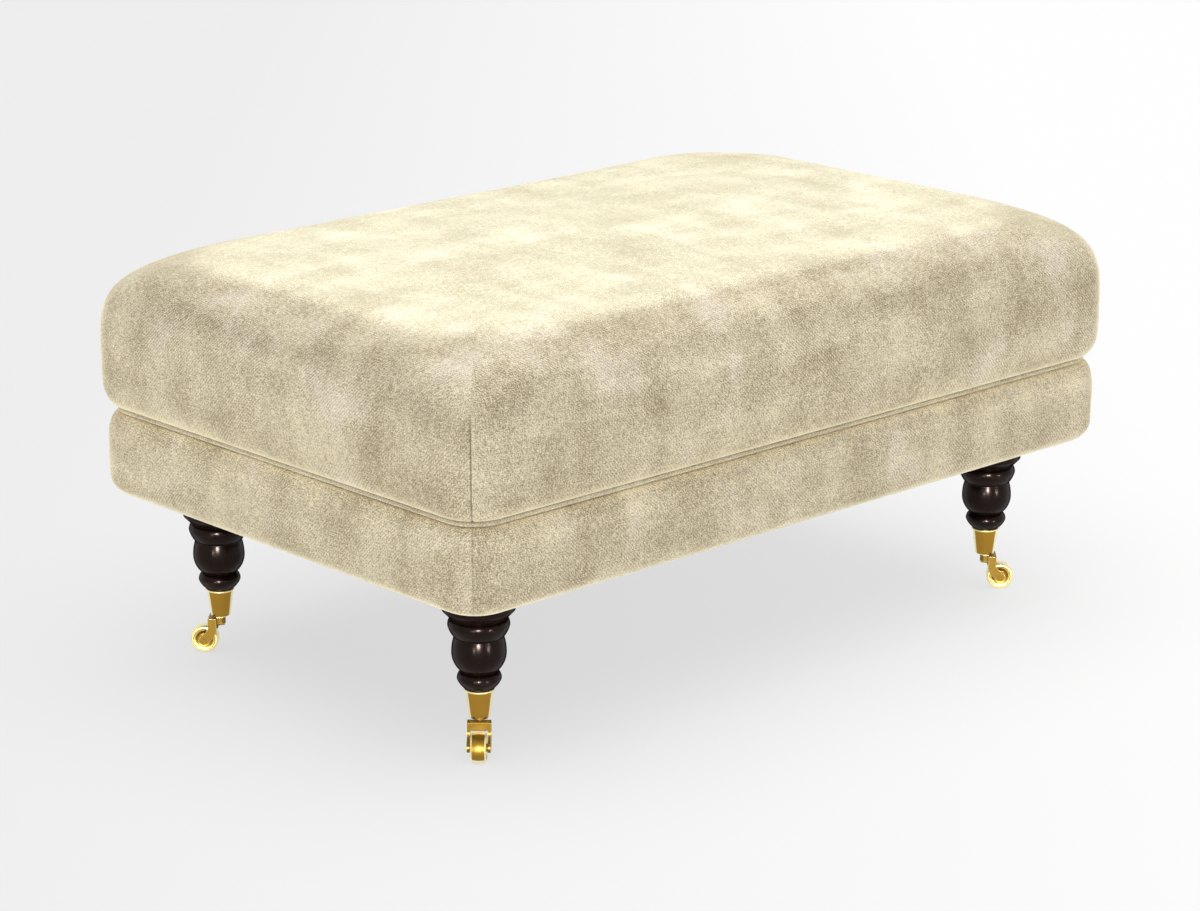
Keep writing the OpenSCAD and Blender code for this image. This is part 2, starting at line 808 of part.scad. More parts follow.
// Side outline of a cheek, with x along the trail and y up
function cheek_outline() =
    let (top = [arm_front - top_back, horn_top_z],
         brow = [arm_front, horn_top_z - brow_drop],
         hand = [trail + cheek_end_r * cos(hand_angle), axle_z + cheek_end_r * sin(hand_angle)],
         heel = [trail + cheek_end_r * cos(heel_angle), axle_z + cheek_end_r * sin(heel_angle)],
         wrist = [arm_back, bridge_z - wrist_drop])
    tidy(concat(
        [[arm_back, horn_top_z], top],
        curve(top, top + [4.7, -0.5], brow + [-0.8, 3], brow),
        curve(brow, brow + [0.6, -4.7], hand + [-2.6, 2.8], hand),
        arc(trail, axle_z, cheek_end_r, cheek_end_r, hand_angle, heel_angle),
        curve(heel, heel + [-3.9, 4.4], wrist + [0.3, -9], wrist)));

module castor_horn(c) {
    color("goldenrod")
        on_trail(c)
            difference() {
                union() {
                    for (y = [-horn_half, gap_half])
                        translate([0, y + cheek_t, 0])
                            rotate([90, 0, 0])
                                linear_extrude(height = cheek_t)
                                    polygon(cheek_outline());
                    intersection() {
                        translate([0, horn_half, 0])
                            rotate([90, 0, 0])
                                linear_extrude(height = 2 * horn_half)
                                    polygon(cheek_outline());
                        translate([0, -horn_half, bridge_z])
                            cube([arm_front + over, 2 * horn_half, bridge_h]);
                    }
                    translate([0, 0, horn_top_z - boss_h])
                        cylinder(h = boss_h, r = boss_r);
                    translate([0, -boss_r, horn_top_z - boss_h])
                        cube([arm_back + over, 2 * boss_r, boss_h]);
                }
                translate([0, 0, bridge_z - over])
                    cylinder(h = bridge_h + 2 * over, r = pin_d / 2 + run);
                translate([0, 0, bridge_z - over])
                    cylinder(h = over + bridge_h - boss_h, r = pin_head_r + 2 * run);
                translate([trail, horn_half + over, axle_z])
                    rotate([90, 0, 0])
                        cylinder(h = 2 * (horn_half + over), r = axle_d / 2 + press);
            }
}

module axle(c) {
    color("goldenrod")
        on_trail(c)
            translate([trail, horn_half, axle_z])
                rotate([90, 0, 0])
                    cylinder(h = 2 * horn_half, r = axle_d / 2);
}

// Wheel: a rounded tread, a raised rim, a ring inside it, a dished web and a hub that fills the fork.
// A depth is a distance in from the wheel's side.
hub_r = 4.6;
hub_chamfer = 0.5;
hub_flare = 0.6;
web_depth = 2.6;
web_rise = 0.8;
ring_inner_r = 9.4;
ring_slope = 0.5;
ring_w = 1.1;
ring_drop = 0.3;
ring_in_depth = 0.9;
ring_out_depth = 0.6;
groove_depth = 1.2;
rim_r_inset = 3.4;
rim_slope = 0.3;
rim_depth = 0.2;
tread_round = 2.6;

// Half of the wheel's section: x is the radius, y the distance from its middle
function wheel_half() =
    let (half = wheel_w / 2,
         bore = axle_d / 2 + run,
         hub_half = gap_half - gap,
         ring_in = ring_inner_r + ring_slope,
         ring_out = ring_in + ring_w,
         rim = wheel_r - rim_r_inset)
    concat(
        [[bore, hub_half], [hub_r - hub_chamfer, hub_half], [hub_r, hub_half - hub_chamfer],
         [hub_r + hub_flare, half - web_depth], [ring_inner_r, half - web_depth + web_rise],
         [ring_in, half - ring_in_depth], [ring_out, half - ring_out_depth],
         [ring_out + ring_drop, half - groove_depth], [rim, half - groove_depth],
         [rim + rim_slope, half - rim_depth], [wheel_r - tread_round, half]],
        arc(wheel_r - tread_round, half - tread_round, tread_round, tread_round, 80, 0, 8));

module wheel(c) {
    half = tidy(wheel_half());
    color("goldenrod")
        on_trail(c)
            translate([trail, 0, axle_z])
                rotate([90, 0, 0])
                    rotate_extrude()
                        polygon(concat(half, [for (p = backwards(half)) [p[0], -p[1]]]));
}

seat_cover();
seat_wadding();
seat_foam();
platform_cloth();
webbing_long();
webbing_cross();
seat_piping();
border_cover();
border_padding();
tack_strip();
bottoming_cloth();
long_rail(-1);  // front_rail
long_rail(1);  // back_rail
end_rail(-1);  // left_rail
end_rail(1);  // right_rail
cross_rail(-1);  // cross_rail_left
cross_rail(1);  // cross_rail_right
frame_screws();
block_screws();
hanger_bolts();
t_nuts();
cup_screws();
swivel_pins();
thrust_washers();
for (c = CORNERS) {
    corner_block(c);
    leg(c);
    castor_cup(c);
    castor_horn(c);
    axle(c);
    wheel(c);
}
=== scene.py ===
"""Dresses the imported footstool: padded seat and border, piping, turned legs, brass castors and underside."""

import math

import bmesh
import bpy
import numpy as np
from mathutils import Matrix, Vector, noise


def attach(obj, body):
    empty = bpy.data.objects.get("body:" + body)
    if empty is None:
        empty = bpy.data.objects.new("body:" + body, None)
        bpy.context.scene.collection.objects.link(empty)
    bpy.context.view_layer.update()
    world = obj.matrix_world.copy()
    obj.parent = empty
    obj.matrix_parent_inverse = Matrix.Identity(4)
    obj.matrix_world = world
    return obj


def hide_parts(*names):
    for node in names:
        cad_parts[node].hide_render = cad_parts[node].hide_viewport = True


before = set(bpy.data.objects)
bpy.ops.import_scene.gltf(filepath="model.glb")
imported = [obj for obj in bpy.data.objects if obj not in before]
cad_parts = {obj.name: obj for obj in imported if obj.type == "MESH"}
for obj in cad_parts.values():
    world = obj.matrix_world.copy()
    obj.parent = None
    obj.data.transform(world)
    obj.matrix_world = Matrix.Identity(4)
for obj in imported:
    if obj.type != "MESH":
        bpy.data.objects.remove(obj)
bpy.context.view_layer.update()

# Sizes are in millimetres, as in the part's source; MM turns them into metres
MM = 0.001
EIGHTH = math.pi / 4

SEAT_W = 1000.0
SEAT_D = 650.0
CORNER_R = 54.0
TOP_CORNER_R = 129.0
SHOULDER_REACH = 155.0
SHOULDER_H = 88.0
SHOULDER_POWER = 3.5
CROWN_H = 4.0
CROWN_REACH = 100.0
DRAW_IN = 18.4
ROLL_H = 34.7
PAD_TOP_Z = 463.8
SHOULDER_Z = 375.8
ROLL_TOP_Z = 324.2
PAD_Z = 288.8
PIPING_Z = 286.1
PIPING_R = 2.8
PIPING_INSET = 18.4
TAIL_Z = 268.8
BORDER_TOP_Z = 283.3
BORDER_SET_IN = 3.5
BORDER_ROLL_H = 31.0
BORDER_EDGE_R = 26.0
UNDER_Z = 186.6
LEG_TOP_Z = 185.8
COLLAR_R = 29.0
BEAD_Z = 145.3
NECK_R = 26.0
BULB_R = 28.8
BULB_Z = 115.3
ANKLE_R = 18.2
FOOT_BEAD_Z = 86.8
CLOTH_T = 1.2
SEAM_OFFSET = (SEAT_W - SEAT_D) / 2

LEG_X = 399.0
LEG_Y = 221.0
TRAIL = 18.6
AXLE_Z = 16.0
# Each leg's side along X and along Y, and the heading of its castor's trail in degrees
CORNERS = {
    "front_left": (-1, -1, 225),
    "front_right": (1, -1, 315),
    "back_left": (-1, 1, 135),
    "back_right": (1, 1, 45),
}


# Node trees

class Wire:
    """An output of a node. Arithmetic on it adds Math nodes."""

    def __init__(self, tree, socket):
        self.tree = tree
        self.socket = socket

    def other(self, output):
        """Another output of the same node."""
        return Wire(self.tree, self.socket.node.outputs[output])

    def maths(self, operation, *terms):
        return self.tree.add("ShaderNodeMath", dict(enumerate(terms)), operation=operation)

    def __add__(self, other):
        return self.maths("ADD", self, other)

    def __sub__(self, other):
        return self.maths("SUBTRACT", self, other)

    def __rsub__(self, other):
        return self.maths("SUBTRACT", other, self)

    def __mul__(self, other):
        return self.maths("MULTIPLY", self, other)

    def __truediv__(self, other):
        return self.maths("DIVIDE", self, other)

    def __abs__(self):
        return self.maths("ABSOLUTE", self)

    __radd__ = __add__
    __rmul__ = __mul__

    def sine(self):
        return self.maths("SINE", self)

    def held(self):
        """The value kept between 0 and 1."""
        return self.tree.add("ShaderNodeClamp", {0: self})

    def between(self, low, high):
        """0 at low and 1 at high, with soft ends. high may be the smaller one."""
        return self.tree.add(
            "ShaderNodeMapRange", {0: self, 1: low, 2: high}, interpolation_type="SMOOTHSTEP")


class Tree:
    """Adds nodes to a node tree."""

    def __init__(self, tree, material=None):
        self.tree = tree
        self.material = material

    def add(self, kind, sockets=None, out=0, **settings):
        """A node of this kind, with its settings made first and then its sockets' values or links."""
        node = self.tree.nodes.new(kind)
        for name, value in settings.items():
            setattr(node, name, value)
        for key, value in (sockets or {}).items():
            if isinstance(value, Wire):
                self.tree.links.new(value.socket, node.inputs[key])
            else:
                node.inputs[key].default_value = value
        return Wire(self, node.outputs[out]) if len(node.outputs) else node

    def parts(self, vector):
        """The three parts of a vector."""
        first = self.add("ShaderNodeSeparateXYZ", {0: vector})
        return [first.other(k) for k in range(3)]

    def cut_place(self):
        """The place on the flat cloth, kept in the map named weft."""
        return self.add("ShaderNodeUVMap", uv_map="weft")

    def edge_on(self):
        """0 where the surface is seen from straight ahead, rising to 1 where it is seen edge on."""
        return self.add("ShaderNodeLayerWeight", {"Blend": 0.5}, out=1)

    def grain(self, vector, scale, detail=2.0, roughness=0.5, warp=0.0, stretch=None):
        """Noise around 0.5. stretch squeezes it along an axis."""
        if stretch:
            vector = self.add("ShaderNodeMapping", {0: vector, 3: stretch})
        return self.add("ShaderNodeTexNoise", {
            "Vector": vector, "Scale": scale, "Detail": detail, "Roughness": roughness, "Distortion": warp})

    def blend(self, first, second, share):
        """Two colours mixed by share."""
        return self.add(
            "ShaderNodeMix", {0: share, 6: first, 7: second}, out=2, data_type="RGBA", clamp_factor=True)

    def shade(self, colour, amount):
        """A colour made lighter or darker by amount, where 1 leaves it."""
        if not isinstance(colour, Wire):
            colour = colour[:3]
        return self.add("ShaderNodeVectorMath", {0: colour, "Scale": amount}, operation="SCALE")

    def relief(self, height, distance, strength=1.0):
        return self.add("ShaderNodeBump", {"Height": height, "Distance": distance, "Strength": strength})

    def surface(self, **sockets):
        """The finish itself. Names take a space for each underscore."""
        return self.add("ShaderNodeBsdfPrincipled", {k.replace("_", " "): v for k, v in sockets.items()})

    def done(self, shader):
        """The material with this shader as its surface."""
        self.add("ShaderNodeOutputMaterial", {0: shader})
        return self.material


def new_finish(name):
    """An empty material's node tree, and the place on the object, in metres."""
    material = bpy.data.materials.new(name)
    material.use_nodes = True
    material.node_tree.nodes.clear()
    t = Tree(material.node_tree, material)
    return t, t.add("ShaderNodeTexCoord", out=3)


def paint(red, green, blue):
    """A colour from its 0 to 255 screen values."""
    return tuple((c / 255) ** 2.2 for c in (red, green, blue)) + (1.0,)


# Finishes

TWILL_PITCH = 0.0031


def cover_cloth(name, dark, light, piping=False):
    """Brushed cream twill. Its yarns and diagonal follow the cut of the cloth, kept in the map named weft.
    Lengths and heights are in metres."""
    t, place = new_finish(name)
    x, y, z = t.parts(place)
    cut = t.cut_place()
    u, v, _ = t.parts(cut)
    diagonal = 2 * math.pi / (TWILL_PITCH * math.sqrt(2))
    # Thick and thin stretches of yarn lie along the cloth and across it
    slub = t.grain(cut, 640.0, 2.0, 0.7, 0.0, (0.14, 1.0, 1.0))
    yarn = t.grain(cut, 980.0, 1.0, 0.9, 0.0, (0.6, 1.0, 1.0))
    cross = t.grain(cut, 600.0, 1.0, 0.6, 0.0, (1.0, 0.2, 1.0))
    pile = t.grain(place, 1050.0, 1.0, 0.9)
    # The pile is brushed in patches with straight sides, along the cloth and across it
    cloud = t.grain(cut, 9.0, 3.0, 0.6, 0.3)
    brushed = t.grain(cut, 15.0, 4.0, 0.55, 0.2, (0.45, 1.3, 1.0))
    crossed = t.grain(cut, 15.0, 4.0, 0.55, 0.2, (1.3, 0.45, 1.0))
    lie = (brushed + crossed) * 0.5
    worn = lie.between(0.42, 0.58)
    bare = cloud.between(0.4, 0.6)
    ridge = ((u + v) * diagonal + (slub - 0.5) * 2.4 + (pile - 0.5) * 2.4).sine()
    grains = (ridge * (0.05 + bare * 0.11) + (slub - 0.5) * 1.1 + (yarn - 0.5) * 2.0 + (cross - 0.5) * 1.1
              + (pile - 0.5) * 2.35 + (lie - 0.5) * 1.7)
    # Painted shade on the top: its colour is made greyer, greener and darker there, and its grain stronger, to
    # hold up under the strong overhead light.
    on_top = z.between(0.452, 0.463)
    tone = (0.5 + grains * (1 + on_top * 0.45)).held()
    colour = t.blend(dark, light, tone)
    colour = t.blend(colour, t.blend(paint(176, 172, 146), paint(192, 200, 182), tone), on_top * 0.4)
    # Some patches are greyer or pinker
    ashen = cloud.between(0.5, 0.62) * worn
    colour = t.blend(colour, t.blend(paint(164, 150, 130), paint(242, 232, 214), tone), ashen * 0.55)
    # Painted sheen: the colour turns pale where the cloth is seen edge on, most of all where it rolls under at
    # the foot of the pad and of the border, standing in for light from the floor below
    edge_on = t.edge_on()
    pad_foot = z.between(0.311, 0.291) * z.between(0.287, 0.288)
    border_foot = z.between(0.206, 0.19)
    painted_rim_light = edge_on.between(0.5, 0.92) * (0.08 + (pad_foot + border_foot) * 0.75)
    painted_rim_light = painted_rim_light + edge_on.between(0.9, 1.0) * 0.25
    colour = t.blend(colour, paint(255, 248, 218), painted_rim_light.held())
    if piping:
        # Painted shade in the crease under the pad, and painted light in the one over the border.
        upper_crease_shade, lower_crease_light = z.between(0.2868, 0.2876), z.between(0.285, 0.2835)
        shading = 1 - upper_crease_shade * 0.08 + lower_crease_light * 0.06
    else:
        # Corner seams: a dark line down each corner, fading out on the shoulder and faint on the border
        across = (abs(x) - abs(y) - SEAM_OFFSET * MM) / math.sqrt(2)
        line = abs(across).between(0.0011, 0.0003)
        on_pad = z.between(0.415, 0.375) * (0.6 + z.between(0.295, 0.315) * 0.4) * z.between(0.286, 0.288)
        on_border = z.between(0.2862, 0.284) * 0.25
        knot = abs(z - 0.2895).between(0.003, 0.001) * abs(across).between(0.0024, 0.001)
        seam = (line * (on_pad + on_border) * 0.55 + knot * 0.7).held()
        # Painted shade over the shoulder, a little deeper on the left end, and painted light on the border's
        # roll just under the piping, where the pad's overhang shades it
        painted_shoulder_shade = z.between(0.4615, 0.4535) * z.between(0.365, 0.435)
        painted_shoulder_shade = painted_shoulder_shade * (0.29 + x.between(-0.38, -0.5) * 0.08)
        painted_roll_light = z.between(0.25, 0.275) * 0.15 + z.between(0.27, 0.283) * 0.35 + z.between(0.2795, 0.2825) * 0.1
        painted_roll_light = painted_roll_light * z.between(0.2865, 0.286)
        shading = (1 - seam) * (1 - painted_shoulder_shade + painted_roll_light)
    colour = t.shade(colour, shading)
    height = ridge * 0.4 + pile * 0.9 + slub * 0.9 + yarn * 0.9
    return t.done(t.surface(
        Base_Color=colour, Roughness=0.92, Specular_IOR_Level=0.2,
        Sheen_Weight=0.6, Sheen_Roughness=0.3, Sheen_Tint=paint(255, 246, 214),
        Normal=t.relief(height, 0.0004, 0.6)))


def leg_lacquer():
    """Near-black brown stain under gloss lacquer, rubbed a little browner on the fullest beads."""
    t, place = new_finish("dark_lacquer")
    _, _, z = t.parts(place)
    streak = t.grain(place, 160.0, 3.0, 0.6, 0.3, (1.0, 1.0, 0.08))
    fine = t.grain(place, 900.0, 2.0, 0.5, 0.0, (1.0, 1.0, 0.05))
    mottle = t.grain(place, 45.0, 3.0, 0.5)
    colour = t.blend(paint(26, 18, 16), paint(44, 32, 28), (streak - 0.1) * 0.75 + (fine - 0.5) * 0.3)
    bead = abs(z - BEAD_Z * MM).between(0.0022, 0.0) + abs(z - FOOT_BEAD_Z * MM).between(0.0022, 0.0)
    rubbed = bead * mottle.between(0.45, 0.7)
    colour = t.blend(colour, paint(84, 54, 38), rubbed * 0.4)
    gloss = t.surface(
        Base_Color=colour, Roughness=0.21, Specular_IOR_Level=0.13, Specular_Tint=(1.0, 0.82, 0.76, 1.0))
    # Painted shading: where the leg is seen edge on, the gloss and its reflection give way to a plain copy of
    # the colour, made lighter.
    lightened_edge_copy = t.add("ShaderNodeBsdfDiffuse", {0: t.shade(colour, 1.35)})
    edge_on = t.edge_on()
    return t.done(t.add("ShaderNodeMixShader", {0: edge_on.between(0.5, 0.8), 1: gloss, 2: lightened_edge_copy}))


def brass(name, face, rim_highlight, smoothness, metal=1.0):
    """Lacquered brass. The rim colour is a painted highlight that it turns to where it is seen edge on."""
    t, place = new_finish(name)
    cloudy = t.grain(place, 130.0, 3.0, 0.6)
    scratch = t.grain(place, 900.0, 3.0, 0.7, 0.0, (1.0, 1.0, 0.06))
    pit = t.grain(place, 1400.0, 2.0, 0.5)
    edge_on = t.edge_on()
    colour = t.shade(face, 0.94 + cloudy * 0.12)
    colour = t.blend(colour, rim_highlight, edge_on.between(0.42, 0.56))
    return t.done(t.surface(
        Base_Color=colour, Metallic=metal,
        Roughness=smoothness + (cloudy - 0.5) * 0.04 + (scratch - 0.5) * 0.02,
        Normal=t.relief(scratch * 0.6 + pit * 0.4, 0.000004, 0.1)))


def bare_timber():
    """Sawn beech with growth rings, pores and saw marks."""
    t, place = new_finish("frame_timber")
    x, _, z = t.parts(place)
    rings = t.grain(place, 30.0, 4.0, 0.6, 1.2, (0.12, 0.5, 1.0))
    pore = t.grain(place, 700.0, 2.0, 0.6, 0.0, (0.08, 0.4, 1.0))
    saw = ((x + z * 0.15) * 1500.0 + rings * 2.0).sine()
    colour = t.blend(paint(196, 160, 116), paint(226, 196, 152), rings)
    colour = t.blend(colour, paint(150, 112, 76), pore.between(0.62, 0.75) * 0.7)
    return t.done(t.surface(
        Base_Color=colour, Roughness=0.72 + pore * 0.15,
        Normal=t.relief(saw * 0.3 + pore * 0.5, 0.00018, 0.5)))


def zinc_steel():
    """Zinc plate with a cloudy, slightly yellow bloom."""
    t, place = new_finish("zinc_steel")
    bloom = t.grain(place, 210.0, 3.0, 0.6)
    draw = t.grain(place, 1100.0, 2.0, 0.6, 0.0, (1.0, 1.0, 0.1))
    return t.done(t.surface(
        Base_Color=t.blend(paint(176, 176, 170), paint(206, 200, 176), bloom),
        Metallic=1.0, Roughness=0.32 + bloom * 0.18, Normal=t.relief(draw, 0.00002, 0.4)))


def woven(name, warp, weft, count, distance):
    """A plain weave of two yarns, count threads to the metre each way, read from the map named weft."""
    t, place = new_finish(name)
    u, v, _ = t.parts(t.cut_place())
    slub = t.grain(place, 300.0, 2.0, 0.6)
    turn = math.pi * count
    over = (u * turn + (slub - 0.5)).sine() * (v * turn + (slub - 0.5)).sine()
    thread = abs((u * turn).sine()) * over.between(-0.1, 0.1)
    thread = thread + abs((v * turn).sine()) * over.between(0.1, -0.1)
    colour = t.blend(warp, weft, over.between(-0.3, 0.3))
    colour = t.shade(colour, 0.72 + thread * 0.2 + slub * 0.3)
    return t.done(t.surface(
        Base_Color=colour, Roughness=0.9, Normal=t.relief(thread + slub * 0.5, distance, 0.7)))


def dust_cover():
    """Thin black spun cloth, pressed with small diamonds."""
    t, place = new_finish("bottoming_cloth")
    u, v, _ = t.parts(t.cut_place())
    dot = ((u + v) * 2200.0).sine() * ((u - v) * 2200.0).sine()
    fibre = t.grain(place, 500.0, 4.0, 0.7, 1.5)
    crease = t.grain(place, 14.0, 3.0, 0.5, 0.8)
    colour = t.blend(paint(24, 24, 25), paint(52, 52, 54), fibre * 0.9 + dot * 0.12)
    return t.done(t.surface(
        Base_Color=colour, Roughness=0.8 - dot.between(0.2, 0.8) * 0.25,
        Normal=t.relief(fibre * 0.5 - dot.between(0.2, 0.8) * 0.5 + crease * 4.0, 0.0004, 0.6)))


def pressed_card():
    """Grey-brown card with pressed fibres."""
    t, place = new_finish("card")
    fibre = t.grain(place, 420.0, 4.0, 0.7, 1.0)
    fleck = t.grain(place, 1300.0, 1.0, 0.5)
    colour = t.blend(paint(176, 152, 116), paint(206, 184, 150), fibre)
    colour = t.blend(colour, paint(120, 92, 62), fleck.between(0.68, 0.76) * 0.6)
    return t.done(t.surface(
        Base_Color=colour, Roughness=0.85 + fibre * 0.1, Normal=t.relief(fibre, 0.0001, 0.5)))


CLOTH = cover_cloth("cover_cloth", paint(140, 125, 97), paint(237, 226, 197))
# The piping's copy of the cover cloth is painted lighter, to offset the shade under the pad's overhang.
PIPING_CLOTH = cover_cloth("piping_cloth", paint(176, 162, 130), paint(250, 242, 218), True)
LACQUER = leg_lacquer()
BRASS = brass("brass", paint(171, 131, 54), paint(255, 247, 196), 0.16)
HORN_BRASS = brass("brass_horn", paint(127, 101, 32), paint(136, 110, 38), 0.42, 0.7)
WHEEL_BRASS = brass("brass_wheel", paint(150, 117, 43), paint(255, 247, 196), 0.36, 0.75)
# Pale, near-white brass put on rounded edges, rings and the washer: a painted edge highlight.
BRASS_EDGE_HIGHLIGHT = brass("brass_painted_edge_highlight", paint(255, 236, 160), paint(255, 250, 208), 0.36, 0.85)
TIMBER = bare_timber()
ZINC = zinc_steel()
WEBBING = woven("webbing", paint(150, 116, 70), paint(112, 78, 44), 420, 0.0003)
HESSIAN = woven("platform_cloth", paint(204, 188, 150), paint(184, 166, 128), 560, 0.0003)
DUST_COVER = dust_cover()
CARD = pressed_card()


# Mesh helpers

def placed(name, data):
    """A new object in the scene."""
    made = bpy.data.objects.new(name, data)
    bpy.context.scene.collection.objects.link(made)
    return made


def new_piece(name, points, faces, *materials):
    """A mesh object from points in millimetres."""
    mesh = bpy.data.meshes.new(name)
    mesh.from_pydata((np.asarray(points, float) * MM).tolist(), [], [list(map(int, f)) for f in faces])
    for material in materials:
        mesh.materials.append(material)
    piece = placed(name, mesh)
    mesh.validate()
    return piece


def outwards(piece):
    """Drops a closed mesh's loose points and turns its faces outwards."""
    work = bmesh.new()
    work.from_mesh(piece.data)
    bmesh.ops.delete(work, geom=[v for v in work.verts if not v.link_faces], context="VERTS")
    bmesh.ops.recalc_face_normals(work, faces=work.faces)
    work.to_mesh(piece.data)
    work.free()


def evaluated_mesh(piece):
    """A new mesh of what the modifiers make."""
    graph = bpy.context.evaluated_depsgraph_get()
    return bpy.data.meshes.new_from_object(
        piece.evaluated_get(graph), preserve_all_data_layers=True, depsgraph=graph)


def apply_modifiers(piece):
    """Turns what the modifiers make into the piece's own mesh."""
    made = evaluated_mesh(piece)
    old = piece.data
    piece.modifiers.clear()
    piece.data = made
    made.name = old.name
    bpy.data.meshes.remove(old)
    return piece


def smooth(piece, sharp_over=None):
    piece.data.shade_smooth()
    if sharp_over is not None:
        piece.data.set_sharp_from_angle(angle=math.radians(sharp_over))


def softened(piece, width, segments, over):
    """Rounds a piece's sharp edges. The new faces take its second material, which on the castors is the
    painted edge highlight.
    """
    bevel = piece.modifiers.new("soft_edges", "BEVEL")
    bevel.width = width * MM
    bevel.segments = segments
    bevel.limit_method = "ANGLE"
    bevel.angle_limit = math.radians(over)
    bevel.harden_normals = True
    bevel.material = 1
    smooth(piece)
    return apply_modifiers(piece)


def cut_away(piece, cutter):
    """Cuts one closed mesh out of another."""
    cut = piece.modifiers.new("cut", "BOOLEAN")
    cut.operation = "DIFFERENCE"
    cut.solver = "EXACT"
    cut.object = cutter
    apply_modifiers(piece)
    bpy.data.objects.remove(cutter)
    return piece


def lathe(name, outline, segments, *materials, sharp_over=None, closed=False, bands=None):
    """Turns an outline of (radius, height) points about the upright axis.
    bands tells each stretch's material from the two points that it lies between."""
    outline = [p for i, p in enumerate(outline) if i == 0 or math.dist(p, outline[i - 1]) > 0.004]
    points, first, faces, kinds = [], [], [], []
    for radius, height in outline:
        first.append(len(points))
        if radius < 1e-6:
            points.append((0, 0, height))
        else:
            points += [(radius * math.cos(a), radius * math.sin(a), height)
                       for a in (2 * math.pi * i / segments for i in range(segments))]
    count = len(outline)
    for k in range(count if closed else count - 1):
        n = (k + 1) % count
        a, b = first[k], first[n]
        pole_a, pole_b = outline[k][0] < 1e-6, outline[n][0] < 1e-6
        if pole_a and pole_b:
            continue
        for i in range(segments):
            j = (i + 1) % segments
            if pole_a:
                faces.append((a, b + i, b + j))
            elif pole_b:
                faces.append((a + i, b, a + j))
            else:
                faces.append((a + i, b + i, b + j, a + j))
            kinds.append(bands(*outline[k], *outline[n]) if bands else 0)
    piece = new_piece(name, points, faces, *materials)
    piece.data.polygons.foreach_set("material_index", kinds)
    outwards(piece)
    if sharp_over:
        smooth(piece, sharp_over)
    return piece


def arc(cx, cy, rx, ry, start, end, steps=16):
    """Points of an elliptical arc, with its angles in degrees."""
    return [(cx + rx * math.cos(math.radians(start + (end - start) * i / steps)),
             cy + ry * math.sin(math.radians(start + (end - start) * i / steps))) for i in range(steps + 1)]


def bezier(p, q, r, s, steps=16):
    """Points of a cubic curve after its first point."""
    p, q, r, s = map(np.array, (p, q, r, s))
    return [tuple((1 - k) ** 3 * p + 3 * (1 - k) ** 2 * k * q + 3 * (1 - k) * k * k * r + k ** 3 * s)
            for k in (i / steps for i in range(1, steps + 1))]


def copy_to(pattern, name, matrix):
    """A copy of a pattern piece with its place in its mesh."""
    mesh = pattern.data.copy()
    mesh.name = name
    mesh.transform(matrix)
    return placed(name, mesh)


def joined(name, pieces):
    """One object from several closed meshes."""
    work = bmesh.new()
    for piece in pieces:
        work.from_mesh(piece.data)
    mesh = bpy.data.meshes.new(name)
    work.to_mesh(mesh)
    work.free()
    for material in pieces[0].data.materials:
        mesh.materials.append(material)
    for piece in pieces:
        bpy.data.objects.remove(piece)
    return placed(name, mesh)


def fit_on(piece, body, slot, *nodes):
    """Rides the piece on its body, in place of its nodes."""
    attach(piece, body)
    if nodes:
        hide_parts(*nodes)


# Rings round the stool

def side_places(corner, half, pitch=9.5):
    """Places along one side from seam to seam, as shares of the half side, closer together at the seams."""
    near = np.array([0, 0.9, 2.0, 3.6, 6.0, 9.0, 13.0, 18.0, 24.0, 31.0])
    length = half - corner + corner * math.sin(EIGHTH)
    inner = length - near[-1]
    steps = round(inner / pitch)
    middle = np.linspace(-inner, inner, 2 * steps + 1)[1:-1]
    return np.concatenate([near - length, middle, (length - near)[::-1]]) / length


LONG_PLACES = side_places(CORNER_R, SEAT_W / 2)
SHORT_PLACES = side_places(CORNER_R, SEAT_D / 2)
SIDE_PLACES = [LONG_PLACES, SHORT_PLACES, LONG_PLACES, SHORT_PLACES]


def faced(side, along, out):
    """A side's own coordinates, along it and outwards, in the stool's plan. Side 0 is the front."""
    return [(along, -out), (out, along), (-along, out), (-out, -along)][side]


def side_of_ring(side, inset, radius):
    """Along, inward and turned angle of one side's columns, and its own straight half and outward reach."""
    half_w, half_d = SEAT_W / 2 - inset, SEAT_D / 2 - inset
    half, out = (half_w, half_d) if side % 2 == 0 else (half_d, half_w)
    straight = half - radius
    along = SIDE_PLACES[side] * (straight + radius * math.sin(EIGHTH))
    over = np.clip(np.abs(along) - straight, 0, None)
    inward = radius - np.sqrt(np.maximum(radius ** 2 - over ** 2, 0))
    turn = np.arcsin(np.clip(over / max(radius, 1e-6), 0, 1)) * np.sign(along)
    return along, inward, turn, straight, out


def ring_points(inset, height, radius):
    points = []
    for side in range(4):
        along, inward, _, _, out = side_of_ring(side, inset, radius)
        x, y = faced(side, along[:-1], out - inward[:-1])
        points.append(np.stack([x, y, np.full(len(x), height)], axis=1))
    return np.concatenate(points)


def ring_weft(inset, radius, down, mitred, edge_inset):
    """Where each side's columns lie on the flat cloth, in metres. down is the way down from the top's edge.
    mitred goes from 0, where the cloth drapes over the corner, to 1, where it is seamed there."""
    places = []
    for side in range(4):
        along, inward, turn, straight, _ = side_of_ring(side, inset, radius)
        edge = (SEAT_D if side % 2 == 0 else SEAT_W) / 2 - edge_inset
        wrapped = np.where(turn == 0, along, np.sign(along) * straight + radius * turn)
        u, v = faced(side, along + mitred * (wrapped - along), edge + down - (1 - mitred) * inward)
        places.append(np.stack([u, v], axis=1) * MM)
    return places


